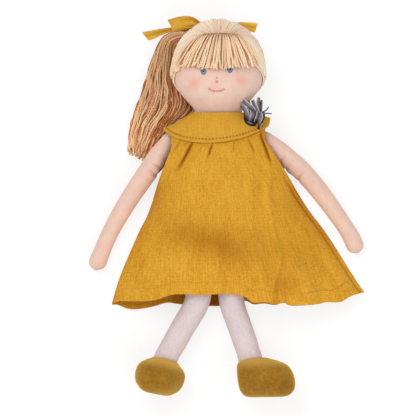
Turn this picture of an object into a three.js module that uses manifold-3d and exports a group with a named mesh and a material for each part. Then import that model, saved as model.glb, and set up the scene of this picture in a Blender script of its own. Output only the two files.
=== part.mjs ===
// A stuffed rag doll lying on its back: +Y towards the crown, +Z out of the chest, the floor at z = 0.
// All sizes are millimetres. "Right" and "left" are the doll's own, so its right arm is on the -X side.
import * as THREE from 'three';
import Module from 'manifold-3d';

const wasm = await Module();
wasm.setup();

// Cloth, seams and the fineness of the rings
const GAP = 0.3; // air left between pieces that are sewn or laid together
const SKIN = 1; // wall of the stuffed skins
const DRESS_CLOTH = 1;
const SIDES = 14; // points round a limb
const BODY_SIDES = 24; // points round the head and the torso
const SHOE_SIDES = 18;
const STRIP_SIDES = 8;
const CORD_SIDES = 6;

// Torso, measured from the fold line at the hips
const HIP_Y = -63.5;
const TORSO_Z = 27.2;
const TORSO_LENGTH = 120;
const TORSO_WIDTH = 76;
const WAIST_WIDTH = 72;
const TORSO_DEPTH = 45;
const SHOULDER_DROP = 15;
const SEAM_FLAT = 3.2; // the bottom seam reaches this far past the fold line
const SEAM_HALF = 0.6;
const SEAM_END_HALF = 2.4; // half depth of the stuffed ends that meet at the fold line
const SEAM_WIDTH_SHARE = 0.9;
const SEAM_START = 3.5; // where the stuffed part begins, on either side of the fold line
const BELLY_RISE = 40; // length over which the torso swells to its full depth

// Neck and head
const NECK_WIDTH = 42;
const NECK_DEPTH = 29;
const NECK_Z = 28.5;
const NECK_LENGTH = 11;
const NECK_TILT = 13; // degrees that the neck's lower end leaves free to each side
const NOD = 31; // degrees that its upper end leaves free in front
const NOD_AXIS_SHARE = 0.6; // height of the nod's axis over the neck's middle, as a share of its half depth
const HEAD_X = 1.5;
const HEAD_Z = 36;
const HEAD_WIDTH = 88;
const HEAD_FRONT = 33; // rise of the face over the head's middle plane
const HEAD_BACK = 31;
const CHEEK_RISE = 38; // from the neck rim to the widest level
const CROWN_RISE = 51; // from the widest level to the crown
const JAW_FULLNESS = 2; // keeps the cheeks wide further down towards the neck
const CHIN_TUCK = 3; // from the neck rim to where the face starts to stand out
const FACE_RISE = 14; // and to where it stands out in full

// Face
const EYE_SPREAD = 26.4;
const EYE_RISE = 2.5; // over the widest level of the head
const EYE_RADIUS = 2.7;
const EYE_THICK = 0.8;
const NOSE_DROP = 6.5;
const NOSE_HALF_HEIGHT = 3;
const NOSE_RADIUS = 1.1;
const MOUTH_DROP = 14;
const MOUTH_SAG = 3.2;
const MOUTH_WIDTH = 17.5;
const THREAD_RADIUS = 0.7;

// Yarn hair
const HAIR_THICK = 4;
const FRINGE_THICK = 3;
const HAIRLINE_HALF = 46; // half width of the face opening in the wig
const HAIRLINE_RISE = 34; // from the widest level to the top of the face opening
const HAIRLINE_REACH = 62;
const WIG_FRONT_Z = 40;
const NAPE_DROP = 29; // below the widest level
const PARTING_RISE = 41; // the fringe's stitch line over the widest level
const PARTING_HALF = 17;
const FRINGE_DROP = 35;
const FRINGE_HALF = 37;
const FRINGE_BOW_HALF = 29.6; // the fan's sides bow out to this before the lower corners
const FRINGE_BOW_DROP = 10.5;
const TIE_RISE = 37.4; // over the widest level
const TIE_INSET = 1.2; // in from the widest point of the head
const TIE_Z = 25;
const TIE_HALF = 6.5;
const TIE_CORD = 1.4;
const PONYTAIL_LENGTH = 121;
const PONYTAIL_REACH = 33.4; // it swings out to the side by this much
const PONYTAIL_FALL = 20.4; // and comes down to the floor
const PONYTAIL_HALF = 29; // half width where it spreads most
const PONYTAIL_DEPTH = 9; // half depth where it is thickest

// Bow behind the crown
const KNOT_X = -15;
const KNOT_RISE = 45.9; // over the widest level
const KNOT_RADIUS = 5;
const RIBBON_THICK = 1.2;
const LOOP_LENGTH = 30;
const LOOP_HEIGHT = 14;
const LOOP_WIDTH = 15;
const SMALL_LOOP_LENGTH = 28;
const SMALL_LOOP_HEIGHT = 6;
const SMALL_LOOP_WIDTH = 9;
const TEARDROP = 1.25; // brings the loop's outline to its full height
const TAIL_LENGTH = 61;
const SHORT_TAIL_LENGTH = 52;
const TAIL_HALF = 3;
const TAIL_END_HALF = 4.6;

// Arms
const ARM_RADIUS = 10.6;
const ELBOW_RADIUS = 10.2;
const WRIST_RADIUS = 8.2;
const HAND_RADIUS = 8.7;
const SHOULDER_BELOW = 16.5; // below the torso's neck rim
const SHOULDER_Z = 27;
const ELBOW_Z = 20.5;
const HAND_Z = 8.2;
const UPPER_ARM_LENGTH = 45;
const FOREARM_LENGTH = 104;
const HAND_LENGTH = 26;
const RIGHT_ARM_ANGLE = 33; // out from straight down, in degrees
const RIGHT_FOREARM_ANGLE = 28;
const LEFT_ARM_ANGLE = 46.5;
const LEFT_FOREARM_ANGLE = 35;
const CREASE_HALF = 7; // length of the elbow crease on each side of its fold
const CREASE_SHARE = 0.6; // height of the crease's bottom as a share of the arm's radius

// Legs and shoes
const RIGHT_HIP_X = -18.5;
const LEFT_HIP_X = 15;
const HIP_RADIUS = 15;
const SHIN_RADIUS = 13;
const ANKLE_RADIUS = 12.2;
const THIGH_LENGTH = 54;
const RIGHT_SHIN_LENGTH = 67;
const LEFT_SHIN_LENGTH = 63;
const KNEE_Z = 19.5;
const RIGHT_ANKLE_Z = 17.6;
const LEFT_ANKLE_Z = 21.8;
const RIGHT_SHIN_ANGLE = 28.5;
const LEFT_SHIN_ANGLE = 18;
const RIGHT_FOOT_ANGLE = 15; // lean of the foot from straight down
const LEFT_FOOT_ANGLE = 5;
const RIGHT_TOE_ANGLE = 25; // turn of the toe outwards from straight up
const LEFT_TOE_ANGLE = 58;
const SHOE_WALL = 1.4;
const SHOE_HEIGHT = 41;
const SHOE_HALF_WIDTH = 25;
const SHOE_TOE = 48;
const SHOE_MOUTH = 15.8;
const SHOE_TOP_OVER_ANKLE = 5;
const SOLE_THICK = 2.4;

// Dress
const COLLAR_CLOTH = 1.6;
const COLLAR_OVER = 10.5; // neck edge over the torso's neck rim
const COLLAR_Z = 26.4;
const COLLAR_NECK_HALF = 26;
const COLLAR_NECK_RISE = 20;
const COLLAR_HALF = 52;
const COLLAR_RISE = 28.6;
const COLLAR_BACK_FALL = 24;
const COLLAR_SIDE_DROP = 9; // outer edge below the neck edge at the shoulders
const COLLAR_FRONT_DROP = 30; // and at the middle of the front
const COLLAR_POINT = 1.3; // above 1 its edge runs down to the front in a straighter line
const COLLAR_TILT = 0.05; // it has slipped down on the right and up on the left
const COLLAR_BULGE = 2;
const COLLAR_LEAN = 0.45; // lean of its surface towards the crown and the sides
const PIPING_RADIUS = 1.2;
const DRESS_EASE = 5; // the cloth stands this far off the body
const SKIRT_EASE = 6.8;
const SAG_START = 14; // the belly's slope to the lap begins so far below the middle of the body
const SAG_END = 86;
const SAG_TILT = 0.07; // and lies lower on the left
const DRAPE_FLATNESS = 2.5; // keeps the panel's middle level
const DRAPE_FULLNESS = 0.82; // rounds its sides
const RIGHT_FLARE = 0.379; // sideways reach gained per length of dress
const LEFT_FLARE = 0.643;
const YOKE_DROP = 27; // below the collar's neck edge
const RIGHT_YOKE_X = -42.2;
const LEFT_YOKE_X = 46.4;
const HEM_Y = -123.5;
const HEM_LIFT = 9; // the hem rides up over the legs
const HEM_LIFT_HALF = 38;
const HEM_CORNER_LIFT = 9;
const BACK_HEM_DROP = 4;
const FOLD_DEPTH = 1.6;
const FOLDS = 5;
const ARMHOLE_TOP = 20;
const ARMHOLE_BOTTOM = -20;
const ARMHOLE_Z = 40;
const OVERLAP_HALF = 6; // of the back opening
const RAMP = 9;
const TAPE_THICK = 0.6;
const TAPE_LENGTH = 46;
const TAPE_HALF = 4.5;

// Corsage
const FLOWER_SWING = 30; // where it sits on the collar, round from the side
const FLOWER_SHARE = 0.55; // and how far out from the neck edge
const FLOWER_RADIUS = 5;
const FLOWER_THICK = 3.6;
const PETAL_LENGTH = 13.5;
const PETAL_HALF = 2.85;
const PETAL_THICK = 1;
const PETAL_SEAT = 3; // lift of the lower layer over the base's middle
const PETAL_RISE = 5;
const LOWER_PETALS = 4;
const TENDRIL_RADIUS = 0.7;
const TENDRIL_LENGTH = 16;
const TENDRIL_CURL = 3;
const UPPER_END_TURN = 22; // degrees up from straight out
const LOWER_END_TURN = -14;

const UP = new THREE.Vector3(0, 0, 1);
const { clamp, degToRad, lerp, smoothstep } = THREE.MathUtils;
const V = (x, y, z) => new THREE.Vector3(x, y, z);

// Joins rings of equal count into a closed surface. A single point is a pole, and a loop has no ends.
function loft(rings, loop = false) {
  const points = [];
  const starts = rings.map((ring) => {
    const start = points.length;
    points.push(...ring);
    return start;
  });
  const faces = [];
  const pairs = loop ? rings.length : rings.length - 1;
  for (let r = 0; r < pairs; r += 1) {
    const next = (r + 1) % rings.length;
    const count = Math.max(rings[r].length, rings[next].length);
    for (let i = 0; i < count; i += 1) {
      const j = (i + 1) % count;
      const corner = (ring, k) => starts[ring] + (rings[ring].length === 1 ? 0 : k);
      if (rings[r].length > 1) faces.push([corner(r, i), corner(r, j), corner(next, i)]);
      if (rings[next].length > 1) faces.push([corner(r, j), corner(next, j), corner(next, i)]);
    }
  }
  return solidFrom(points, faces);
}

// Geometry from points and triangles, turned so that it faces out.
function solidFrom(points, faces) {
  let volume = 0;
  for (const [a, b, c] of faces) {
    volume += points[a].dot(points[b].clone().cross(points[c]));
  }
  const index = faces.flatMap(([a, b, c]) => (volume > 0 ? [a, b, c] : [a, c, b]));
  const geometry = new THREE.BufferGeometry();
  geometry.setAttribute('position', new THREE.Float32BufferAttribute(points.flatMap((p) => p.toArray()), 3));
  geometry.setIndex(index);
  return geometry;
}

const middle = (ring) => [ring.reduce((sum, p) => sum.add(p), V(0, 0, 0)).divideScalar(ring.length)];

// Rings joined into a solid with a flat face at each end.
const capped = (rings) => loft([middle(rings[0]), ...rings, middle(rings.at(-1))]);

// An oval ring: so wide to each side, so high above and so deep below its centre.
function oval(centre, side, up, { wide, high, deep }, count) {
  return Array.from({ length: count }, (_, i) => {
    const a = (2 * Math.PI * i) / count;
    const rise = Math.sin(a) > 0 ? high : deep;
    return centre.clone().addScaledVector(side, wide * Math.cos(a)).addScaledVector(up, rise * Math.sin(a));
  });
}

const shrunk = (stop, by) => ({ ...stop, wide: stop.wide - by, high: stop.high - by, deep: stop.deep - by });

// The ring across a path at a stop, which gives the distance along it and the section there.
function ringOn(path, stop, count = SIDES) {
  const share = clamp(stop.at / path.getLength(), 0, 1);
  const along = path.getTangentAt(share);
  const up = UP.clone().addScaledVector(along, -UP.dot(along)).normalize();
  return oval(path.getPointAt(share), along.clone().cross(up), up, stop, count);
}

const roundStop = (at, radius) => ({ at, wide: radius, high: radius, deep: radius });
const pointOn = (path, at) => [path.getPointAt(clamp(at / path.getLength(), 0, 1))];

// A cloth skin with a hollow, open at the path's start and also at its end if asked, and the stuffing in it.
function stuffed(path, stops, { openEnd = false } = {}) {
  const length = path.getLength();
  const fits = (stop, by) => openEnd || stop.at < length - by - SKIN;
  const layer = (by) => stops.filter((stop) => fits(stop, by)).map((stop) => ringOn(path, shrunk(stop, by)));
  const outer = stops.map((stop) => ringOn(path, stop));
  const inner = layer(SKIN).reverse();
  const fill = layer(SKIN + GAP).reverse(); // in the hollow's own order, so that their facets match
  const skin = openEnd
    ? loft([...outer, ...inner], true)
    : loft([pointOn(path, length - SKIN), ...inner, ...outer, pointOn(path, length)]);
  const fillTip = openEnd ? middle(fill[0]) : pointOn(path, length - SKIN - GAP);
  return { skin, stuffing: loft([fillTip, ...fill, middle(fill.at(-1))]) };
}

const domeShare = (distance, radius) => Math.sqrt(1 - (1 - clamp(distance / radius, 0, 1)) ** 2);
const DOME_STEPS = [0.06, 0.25, 0.6];

function cord(points, radius, steps) {
  const path = new THREE.CatmullRomCurve3(points);
  const length = path.getLength();
  const stops = Array.from({ length: steps + 1 }, (_, i) => roundStop((length * i) / steps, radius));
  return capped(stops.map((stop) => ringOn(path, stop, CORD_SIDES)));
}

// A sheet of cloth from a grid of points on its upper face, with its thickness below.
function sheet(columns, rows, pointAt, thick) {
  const top = [];
  for (let r = 0; r <= rows; r += 1) {
    for (let c = 0; c <= columns; c += 1) top.push(pointAt(c / columns, r / rows));
  }
  const under = top.map((p) => p.clone().addScaledVector(UP, -thick));
  const size = top.length;
  const at = (r, c) => r * (columns + 1) + c;
  const faces = [];
  const quad = (a, b, c, d) => faces.push([a, b, c], [a, c, d]);
  for (let r = 0; r < rows; r += 1) {
    for (let c = 0; c < columns; c += 1) {
      quad(at(r, c), at(r + 1, c), at(r + 1, c + 1), at(r, c + 1));
      quad(size + at(r, c + 1), size + at(r + 1, c + 1), size + at(r + 1, c), size + at(r, c));
    }
    quad(at(r + 1, 0), at(r, 0), size + at(r, 0), size + at(r + 1, 0));
    quad(at(r, columns), at(r + 1, columns), size + at(r + 1, columns), size + at(r, columns));
  }
  for (let c = 0; c < columns; c += 1) {
    quad(at(0, c), at(0, c + 1), size + at(0, c + 1), size + at(0, c));
    quad(at(rows, c + 1), at(rows, c), size + at(rows, c), size + at(rows, c + 1));
  }
  return solidFrom([...top, ...under], faces);
}

function toManifold(geometry) {
  return new wasm.Manifold(new wasm.Mesh({
    numProp: 3,
    vertProperties: new Float32Array(geometry.attributes.position.array),
    triVerts: new Uint32Array(geometry.index.array),
  }));
}

function fromManifold(solid) {
  const mesh = solid.getMesh();
  const geometry = new THREE.BufferGeometry();
  geometry.setAttribute('position', new THREE.BufferAttribute(new Float32Array(mesh.vertProperties), 3));
  geometry.setIndex(new THREE.BufferAttribute(new Uint32Array(mesh.triVerts), 1));
  return geometry;
}

// A prism over a closed outline in the XY plane.
function prism(outline, bottom, top) {
  return capped([bottom, top].map((z) => outline.map(([x, y]) => V(x, y, z))));
}

const doll = new THREE.Group();
doll.name = 'rag_doll';

function add(name, geometry, [color, roughness = 0.9]) {
  const material = new THREE.MeshStandardMaterial({ color, roughness, metalness: 0 });
  const mesh = new THREE.Mesh(geometry, material);
  mesh.name = name;
  doll.add(mesh);
}

const SKIN_CLOTH = [0xeacbb8];
const FIBRE = [0xf3efe8, 1];
const STOCKING = [0xe0d6d6];
const VELOUR = [0xa67c2c, 0.95];
const GAUZE = [0xd69c33];
const YARN = [0xe6bd93];
const TAIL_YARN = [0xbe9264];
const FELT = [0x6f6666, 0.95];
const THREAD = [0xdf9c92, 0.7];
const EYE_THREAD = [0x44505f, 0.6];
const TAPE = [0xd9b25e, 0.8];

// Torso: hollow from its neck rim down to the flat seam that the legs are sewn to
const torsoTop = HIP_Y + TORSO_LENGTH;
const torsoPath = new THREE.LineCurve3(V(0, torsoTop, TORSO_Z), V(0, HIP_Y - SEAM_FLAT, TORSO_Z));

function torsoStop(fromFold) {
  const swell = clamp((fromFold - SEAM_START) / BELLY_RISE, 0, 1);
  const seam = fromFold < SEAM_START ? SEAM_HALF : SEAM_END_HALF;
  const body = lerp(seam, TORSO_DEPTH / 2, Math.sin((Math.PI / 2) * swell));
  const shoulder = 1 - domeShare(TORSO_LENGTH - fromFold, SHOULDER_DROP);
  const waist = Math.sin(Math.PI * clamp(fromFold / (TORSO_LENGTH - SHOULDER_DROP), 0, 1));
  const side = (TORSO_WIDTH - (TORSO_WIDTH - WAIST_WIDTH) * waist) / 2;
  const wide = lerp(side * lerp(SEAM_WIDTH_SHARE, 1, swell), NECK_WIDTH / 2 + SKIN, shoulder);
  const depth = lerp(body, NECK_DEPTH / 2 + SKIN, shoulder);
  return { at: TORSO_LENGTH - fromFold, wide, high: depth, deep: depth };
}

const shoulderLevels = [0, 0.15, 0.4, 0.7, 1].map((share) => TORSO_LENGTH - SHOULDER_DROP * share);
const bellyFull = SEAM_START + BELLY_RISE;
const chestLevels = [0.85, 0.6, 0.3, 0].map((share) => lerp(bellyFull, shoulderLevels.at(-1), share));
const bellyLevels = [0.6, 0.34, 0.14].map((share) => SEAM_START + BELLY_RISE * share);
const seamLevels = [SEAM_START, SEAM_START - SKIN, -SEAM_FLAT];
const hollowLevels = [...shoulderLevels, ...chestLevels, ...bellyLevels];
const torsoRing = (by) => (fromFold) => ringOn(torsoPath, shrunk(torsoStop(fromFold), by), BODY_SIDES);
const torsoOuter = [...hollowLevels, ...seamLevels].map(torsoRing(0));
const torsoInner = hollowLevels.map(torsoRing(SKIN)).reverse();
const torsoFill = hollowLevels.slice(0, -1).map(torsoRing(SKIN + GAP)).reverse();
add('torso_skin', capped([...torsoInner, ...torsoOuter]), SKIN_CLOTH);
add('torso_stuffing', capped(torsoFill), FIBRE);

// Neck, between the rims of torso and head
const neckTop = torsoTop + GAP + NECK_LENGTH;
const neckStop = { wide: NECK_WIDTH / 2, high: NECK_DEPTH / 2, deep: NECK_DEPTH / 2 };
const neckPath = new THREE.LineCurve3(V(0, torsoTop + GAP, TORSO_Z), V(HEAD_X, neckTop, NECK_Z));
const nodZ = NECK_Z + (NOD_AXIS_SHARE * NECK_DEPTH) / 2;
const neckRing = (share) => oval(neckPath.getPoint(share), V(1, 0, 0), UP, neckStop, BODY_SIDES);
const neckRings = [0, 0.5, 1].map(neckRing);
for (const point of neckRings[0]) point.y += Math.abs(point.x) * Math.tan(degToRad(NECK_TILT));
for (const point of neckRings[2]) point.y -= Math.max(0, point.z - nodZ) * Math.tan(degToRad(NOD));
add('neck', loft([[neckPath.v1], ...neckRings, [V(HEAD_X, neckTop, nodZ)]]), SKIN_CLOTH);

// Head: an oval section at every level, swelling from the neck to the cheeks and closing at the crown
const headBase = neckTop + GAP;
const headMiddle = headBase + CHEEK_RISE;
const headTop = headMiddle + CROWN_RISE;

function headSection(y, grow = 0) {
  const below = smoothstep(headMiddle - y, 0, CHEEK_RISE);
  const above = clamp((y - headMiddle) / (CROWN_RISE + grow), 0, 1);
  const crown = Math.sqrt(1 - above ** 2);
  const jaw = below ** JAW_FULLNESS;
  const chin = 1 - smoothstep(y - headBase, CHIN_TUCK, FACE_RISE);
  const half = (full, neck, share) => lerp(full, neck, share) * crown + grow * (y > headMiddle ? crown : 1);
  return {
    z: lerp(HEAD_Z, NECK_Z, below),
    wide: half(HEAD_WIDTH / 2, NECK_WIDTH / 2 + SKIN, jaw),
    high: half(HEAD_FRONT, NECK_DEPTH / 2 + 2 * SKIN, chin),
    deep: half(HEAD_BACK, NECK_DEPTH / 2 + SKIN, jaw),
  };
}

// Height of the head's surface, grown by so much, over or under a point of the XY plane.
function headZ(x, y, grow = 0, front = true) {
  const { z, wide, high, deep } = headSection(y, grow);
  const share = Math.sqrt(Math.max(0, 1 - ((x - HEAD_X) / wide) ** 2));
  return front ? z + high * share : z - deep * share;
}

const cheekLevels = [0, 0.13, 0.22, 0.34, 0.52, 0.74, 1].map((share) => headBase + CHEEK_RISE * share);
const CROWN_SHARES = [0.26, 0.5, 0.7, 0.85, 0.95, 0.99];

function headRings(grow) {
  const ring = (y) => {
    const section = headSection(y, grow);
    return oval(V(HEAD_X, y, section.z), V(1, 0, 0), UP, section, BODY_SIDES);
  };
  const crown = CROWN_SHARES.map((share) => headMiddle + (CROWN_RISE + grow) * share);
  return [...cheekLevels.map(ring), ...crown.map(ring), [V(HEAD_X, headTop + grow, HEAD_Z)]];
}

function headSolid(grow) {
  const rings = headRings(grow).reverse();
  return loft([...rings, middle(rings.at(-1))]);
}

const headShell = loft([...headRings(-SKIN).reverse(), ...headRings(0)]);
add('head_skin', headShell, SKIN_CLOTH);
add('head_stuffing', headSolid(-SKIN - GAP), FIBRE);

// Face: each feature is seated on the head's surface where a line straight down meets it
const headTarget = new THREE.Mesh(headShell);

function faceSeat(x, y) {
  const down = new THREE.Raycaster(V(x, y, 2 * HEAD_WIDTH), V(0, 0, -1));
  const [hit] = down.intersectObject(headTarget);
  return { point: hit.point, normal: hit.face.normal };
}

function onFace(x, y, lift) {
  const { point, normal } = faceSeat(x, y);
  return point.addScaledVector(normal, lift);
}

function faceDisc(x, y, radius, tall, thick) {
  const disc = new THREE.SphereGeometry(1, 10, 6).scale(radius, tall, thick / 2);
  disc.applyQuaternion(new THREE.Quaternion().setFromUnitVectors(UP, faceSeat(x, y).normal));
  const at = onFace(x, y, thick / 2 + GAP);
  return disc.translate(at.x, at.y, at.z);
}

const eyeY = headMiddle + EYE_RISE;
add('right_eye', faceDisc(-EYE_SPREAD / 2, eyeY, EYE_RADIUS, EYE_RADIUS, EYE_THICK), EYE_THREAD);
add('left_eye', faceDisc(EYE_SPREAD / 2, eyeY, EYE_RADIUS, EYE_RADIUS, EYE_THICK), EYE_THREAD);
add('nose', faceDisc(0, headMiddle - NOSE_DROP, NOSE_RADIUS, NOSE_HALF_HEIGHT, EYE_THICK), THREAD);
const mouthPoints = [-1, -0.5, 0, 0.5, 1].map((share) => {
  const y = headMiddle - MOUTH_DROP - MOUTH_SAG * (1 - share ** 2);
  return onFace((share * MOUTH_WIDTH) / 2, y, THREAD_RADIUS + GAP);
});
add('mouth', cord(mouthPoints, THREAD_RADIUS, 8), THREAD);

// Yarn wig with its face opening, and the fringe over the forehead
const ellipseOutline = (x, y, halfX, halfY, count) => Array.from({ length: count }, (_, i) => {
  const a = (2 * Math.PI * i) / count;
  return [x + halfX * Math.cos(a), y + halfY * Math.sin(a)];
});
const wigOuter = GAP + HAIR_THICK;
const openingY = headMiddle + HAIRLINE_RISE - HAIRLINE_REACH;
const overHead = HEAD_Z + HEAD_FRONT + 2 * wigOuter;
const hairline = ellipseOutline(HEAD_X, openingY, HAIRLINE_HALF, HAIRLINE_REACH, 28);
const opening = prism(hairline, WIG_FRONT_Z, overHead);
const napeY = headMiddle - NAPE_DROP;
const napeBox = [[-HEAD_WIDTH, 0], [HEAD_WIDTH, 0], [HEAD_WIDTH, napeY], [-HEAD_WIDTH, napeY]];
const belowNape = prism(napeBox, -wigOuter, overHead);
const wig = toManifold(headSolid(wigOuter))
  .subtract(toManifold(headSolid(GAP)))
  .subtract(toManifold(opening))
  .subtract(toManifold(belowNape));
add('hair_cap', fromManifold(wig), YARN);

const partingY = headMiddle + PARTING_RISE;
const fringeInner = wigOuter + GAP;
const fringeSide = [[PARTING_HALF, 0], [FRINGE_BOW_HALF, FRINGE_BOW_DROP], [FRINGE_HALF, FRINGE_DROP]];
const fringeOutline = [...fringeSide.map(([x, drop]) => [-x, drop]), ...[...fringeSide].reverse()]
  .map(([x, drop]) => [HEAD_X + x, partingY - drop]);
const fringe = toManifold(headSolid(fringeInner + FRINGE_THICK))
  .subtract(toManifold(headSolid(fringeInner)))
  .intersect(toManifold(prism(fringeOutline, HEAD_Z, overHead + FRINGE_THICK)));
add('fringe', fromManifold(fringe), YARN);

const stitchLift = fringeInner + FRINGE_THICK;
const stitchY = partingY - 3 * THREAD_RADIUS;
const stitchPoints = [-1, -0.5, 0, 0.5, 1].map((share) => {
  const x = HEAD_X + share * (PARTING_HALF - THREAD_RADIUS);
  return V(x, stitchY, headZ(x, stitchY, stitchLift) + THREAD_RADIUS + GAP);
});
add('parting_stitch', cord(stitchPoints, THREAD_RADIUS, 8), YARN);

// Ponytail: falls from its tie beside the crown to the floor and spreads behind the shoulder.
// Each stop gives its shares of the length, the reach to the side, the fall, the half width and half depth.
const tieX = HEAD_X - HEAD_WIDTH / 2 + TIE_INSET;
const tieY = headMiddle + TIE_RISE;
const tieWide = TIE_HALF / PONYTAIL_HALF;
const tieDeep = TIE_HALF / PONYTAIL_DEPTH;
const ponytailStops = [
  [-0.025, 0, 0, 1.1 * tieWide, 1.1 * tieDeep],
  [-0.008, 0, 0, tieWide, tieDeep],
  [0.008, 0, 0, tieWide, tieDeep],
  [0.08, 0.16, 0.25, 0.39, 0.89],
  [0.18, 0.3, 0.54, 0.51, 1],
  [0.28, 0.39, 0.79, 0.58, 0.91],
  [0.44, 0.34, 0.85, 0.81, 0.73],
  [0.59, 0.37, 0.89, 1, 0.67],
  [0.74, 0.75, 0.95, 0.78, 0.56],
  [0.93, 0.96, 0.98, 0.62, 0.5],
  [1, 1, 1, 0.52, 0.44],
];
const ponytailRings = ponytailStops.map(([down, reach, fall, half, depth]) => {
  const centre = V(
    tieX - PONYTAIL_REACH * reach,
    tieY - PONYTAIL_LENGTH * down,
    TIE_Z - PONYTAIL_FALL * fall,
  );
  const thick = PONYTAIL_DEPTH * depth;
  return oval(centre, V(1, 0, 0), UP, { wide: PONYTAIL_HALF * half, high: thick, deep: thick }, SIDES);
});
add('ponytail', capped(ponytailRings), TAIL_YARN);

const tieSteps = 14;
const tieRings = Array.from({ length: tieSteps }, (_, i) => {
  const a = (2 * Math.PI * i) / tieSteps;
  const out = V(Math.cos(a), 0, Math.sin(a));
  const centre = V(tieX, tieY, TIE_Z).addScaledVector(out, TIE_HALF + GAP + TIE_CORD);
  return oval(centre, out, V(0, 1, 0), roundStop(0, TIE_CORD), CORD_SIDES);
});
add('hair_tie', loft(tieRings, true), TAPE);

// Bow: the knot sits under the wig, one loop and one tail run out to each side
const knotY = headMiddle + KNOT_RISE;
const knotReach = KNOT_RADIUS / 3; // the wig comes lowest on this side of the knot's middle
const knotZ = headZ(KNOT_X + knotReach, knotY - knotReach, wigOuter, false) - KNOT_RADIUS - GAP;
const knot = new THREE.SphereGeometry(KNOT_RADIUS, 10, 8);
add('bow_knot', knot.translate(KNOT_X, knotY, knotZ), GAUZE);

// A folded ribbon: a teardrop round from the knot and back, as wide as the ribbon.
function bowLoop(direction, { length, height, width, drop }) {
  const outline = (by) => Array.from({ length: SIDES }, (_, i) => {
    const a = (2 * Math.PI * i) / SIDES;
    const share = (1 - Math.cos(a)) / 2;
    const fullness = Math.sin(a) * Math.sqrt(share) * TEARDROP;
    return [by + (length - 2 * by) * share, fullness * (height / 2 - by)];
  });
  const start = KNOT_X + direction * (Math.sqrt(KNOT_RADIUS ** 2 - drop ** 2) + GAP);
  const place = ([along, rise], side) => V(start + direction * along, knotY + side, knotZ - drop + rise);
  const lower = KNOT_RADIUS - width / 2;
  const upper = lower + width;
  const ring = (by, side) => outline(by).map((p) => place(p, side));
  const faces = [[0, lower], [0, upper], [RIBBON_THICK, upper], [RIBBON_THICK, lower]];
  return loft(faces.map(([by, side]) => ring(by, side)), true);
}

const largeLoop = { length: LOOP_LENGTH, height: LOOP_HEIGHT, width: LOOP_WIDTH, drop: 0 };
const smallLoop = {
  length: SMALL_LOOP_LENGTH,
  height: SMALL_LOOP_HEIGHT,
  width: SMALL_LOOP_WIDTH,
  drop: KNOT_RADIUS / 2,
};
add('bow_loop_right', bowLoop(-1, largeLoop), GAUZE);
add('bow_loop_left', bowLoop(1, smallLoop), GAUZE);

// A tail runs out from under the knot and falls to the floor.
function bowTail(direction, length, endShift) {
  const rings = [0, 0.3, 0.65, 1].map((share) => {
    const half = lerp(TAIL_HALF, TAIL_END_HALF, share);
    const x = KNOT_X + direction * (GAP + length * share);
    const z = lerp(knotZ - KNOT_RADIUS - GAP - RIBBON_THICK, RIBBON_THICK, Math.sqrt(share));
    const y = knotY - KNOT_RADIUS / 2 + endShift * share;
    const crease = -RIBBON_THICK / 2;
    const lower = [[-half, 0], [0, crease], [half, 0]];
    const upper = lower.map(([across, rise]) => [across, rise + RIBBON_THICK]).reverse();
    return [...lower, ...upper].map(([across, rise]) => V(x, y + across, z + rise));
  });
  return capped(rings);
}

add('bow_tail_right', bowTail(-1, TAIL_LENGTH, -3), GAUZE);
add('bow_tail_left', bowTail(1, SHORT_TAIL_LENGTH, 3), GAUZE);

// Arms: each is sewn to the torso's side, with a crease at the elbow that it folds along
const downAndOut = (side, angle) => V(side * Math.sin(degToRad(angle)), -Math.cos(degToRad(angle)), 0);
const shoulderY = torsoTop - SHOULDER_BELOW;
const shoulderX = torsoStop(shoulderY - HIP_Y).wide + GAP + ARM_RADIUS;

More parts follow.
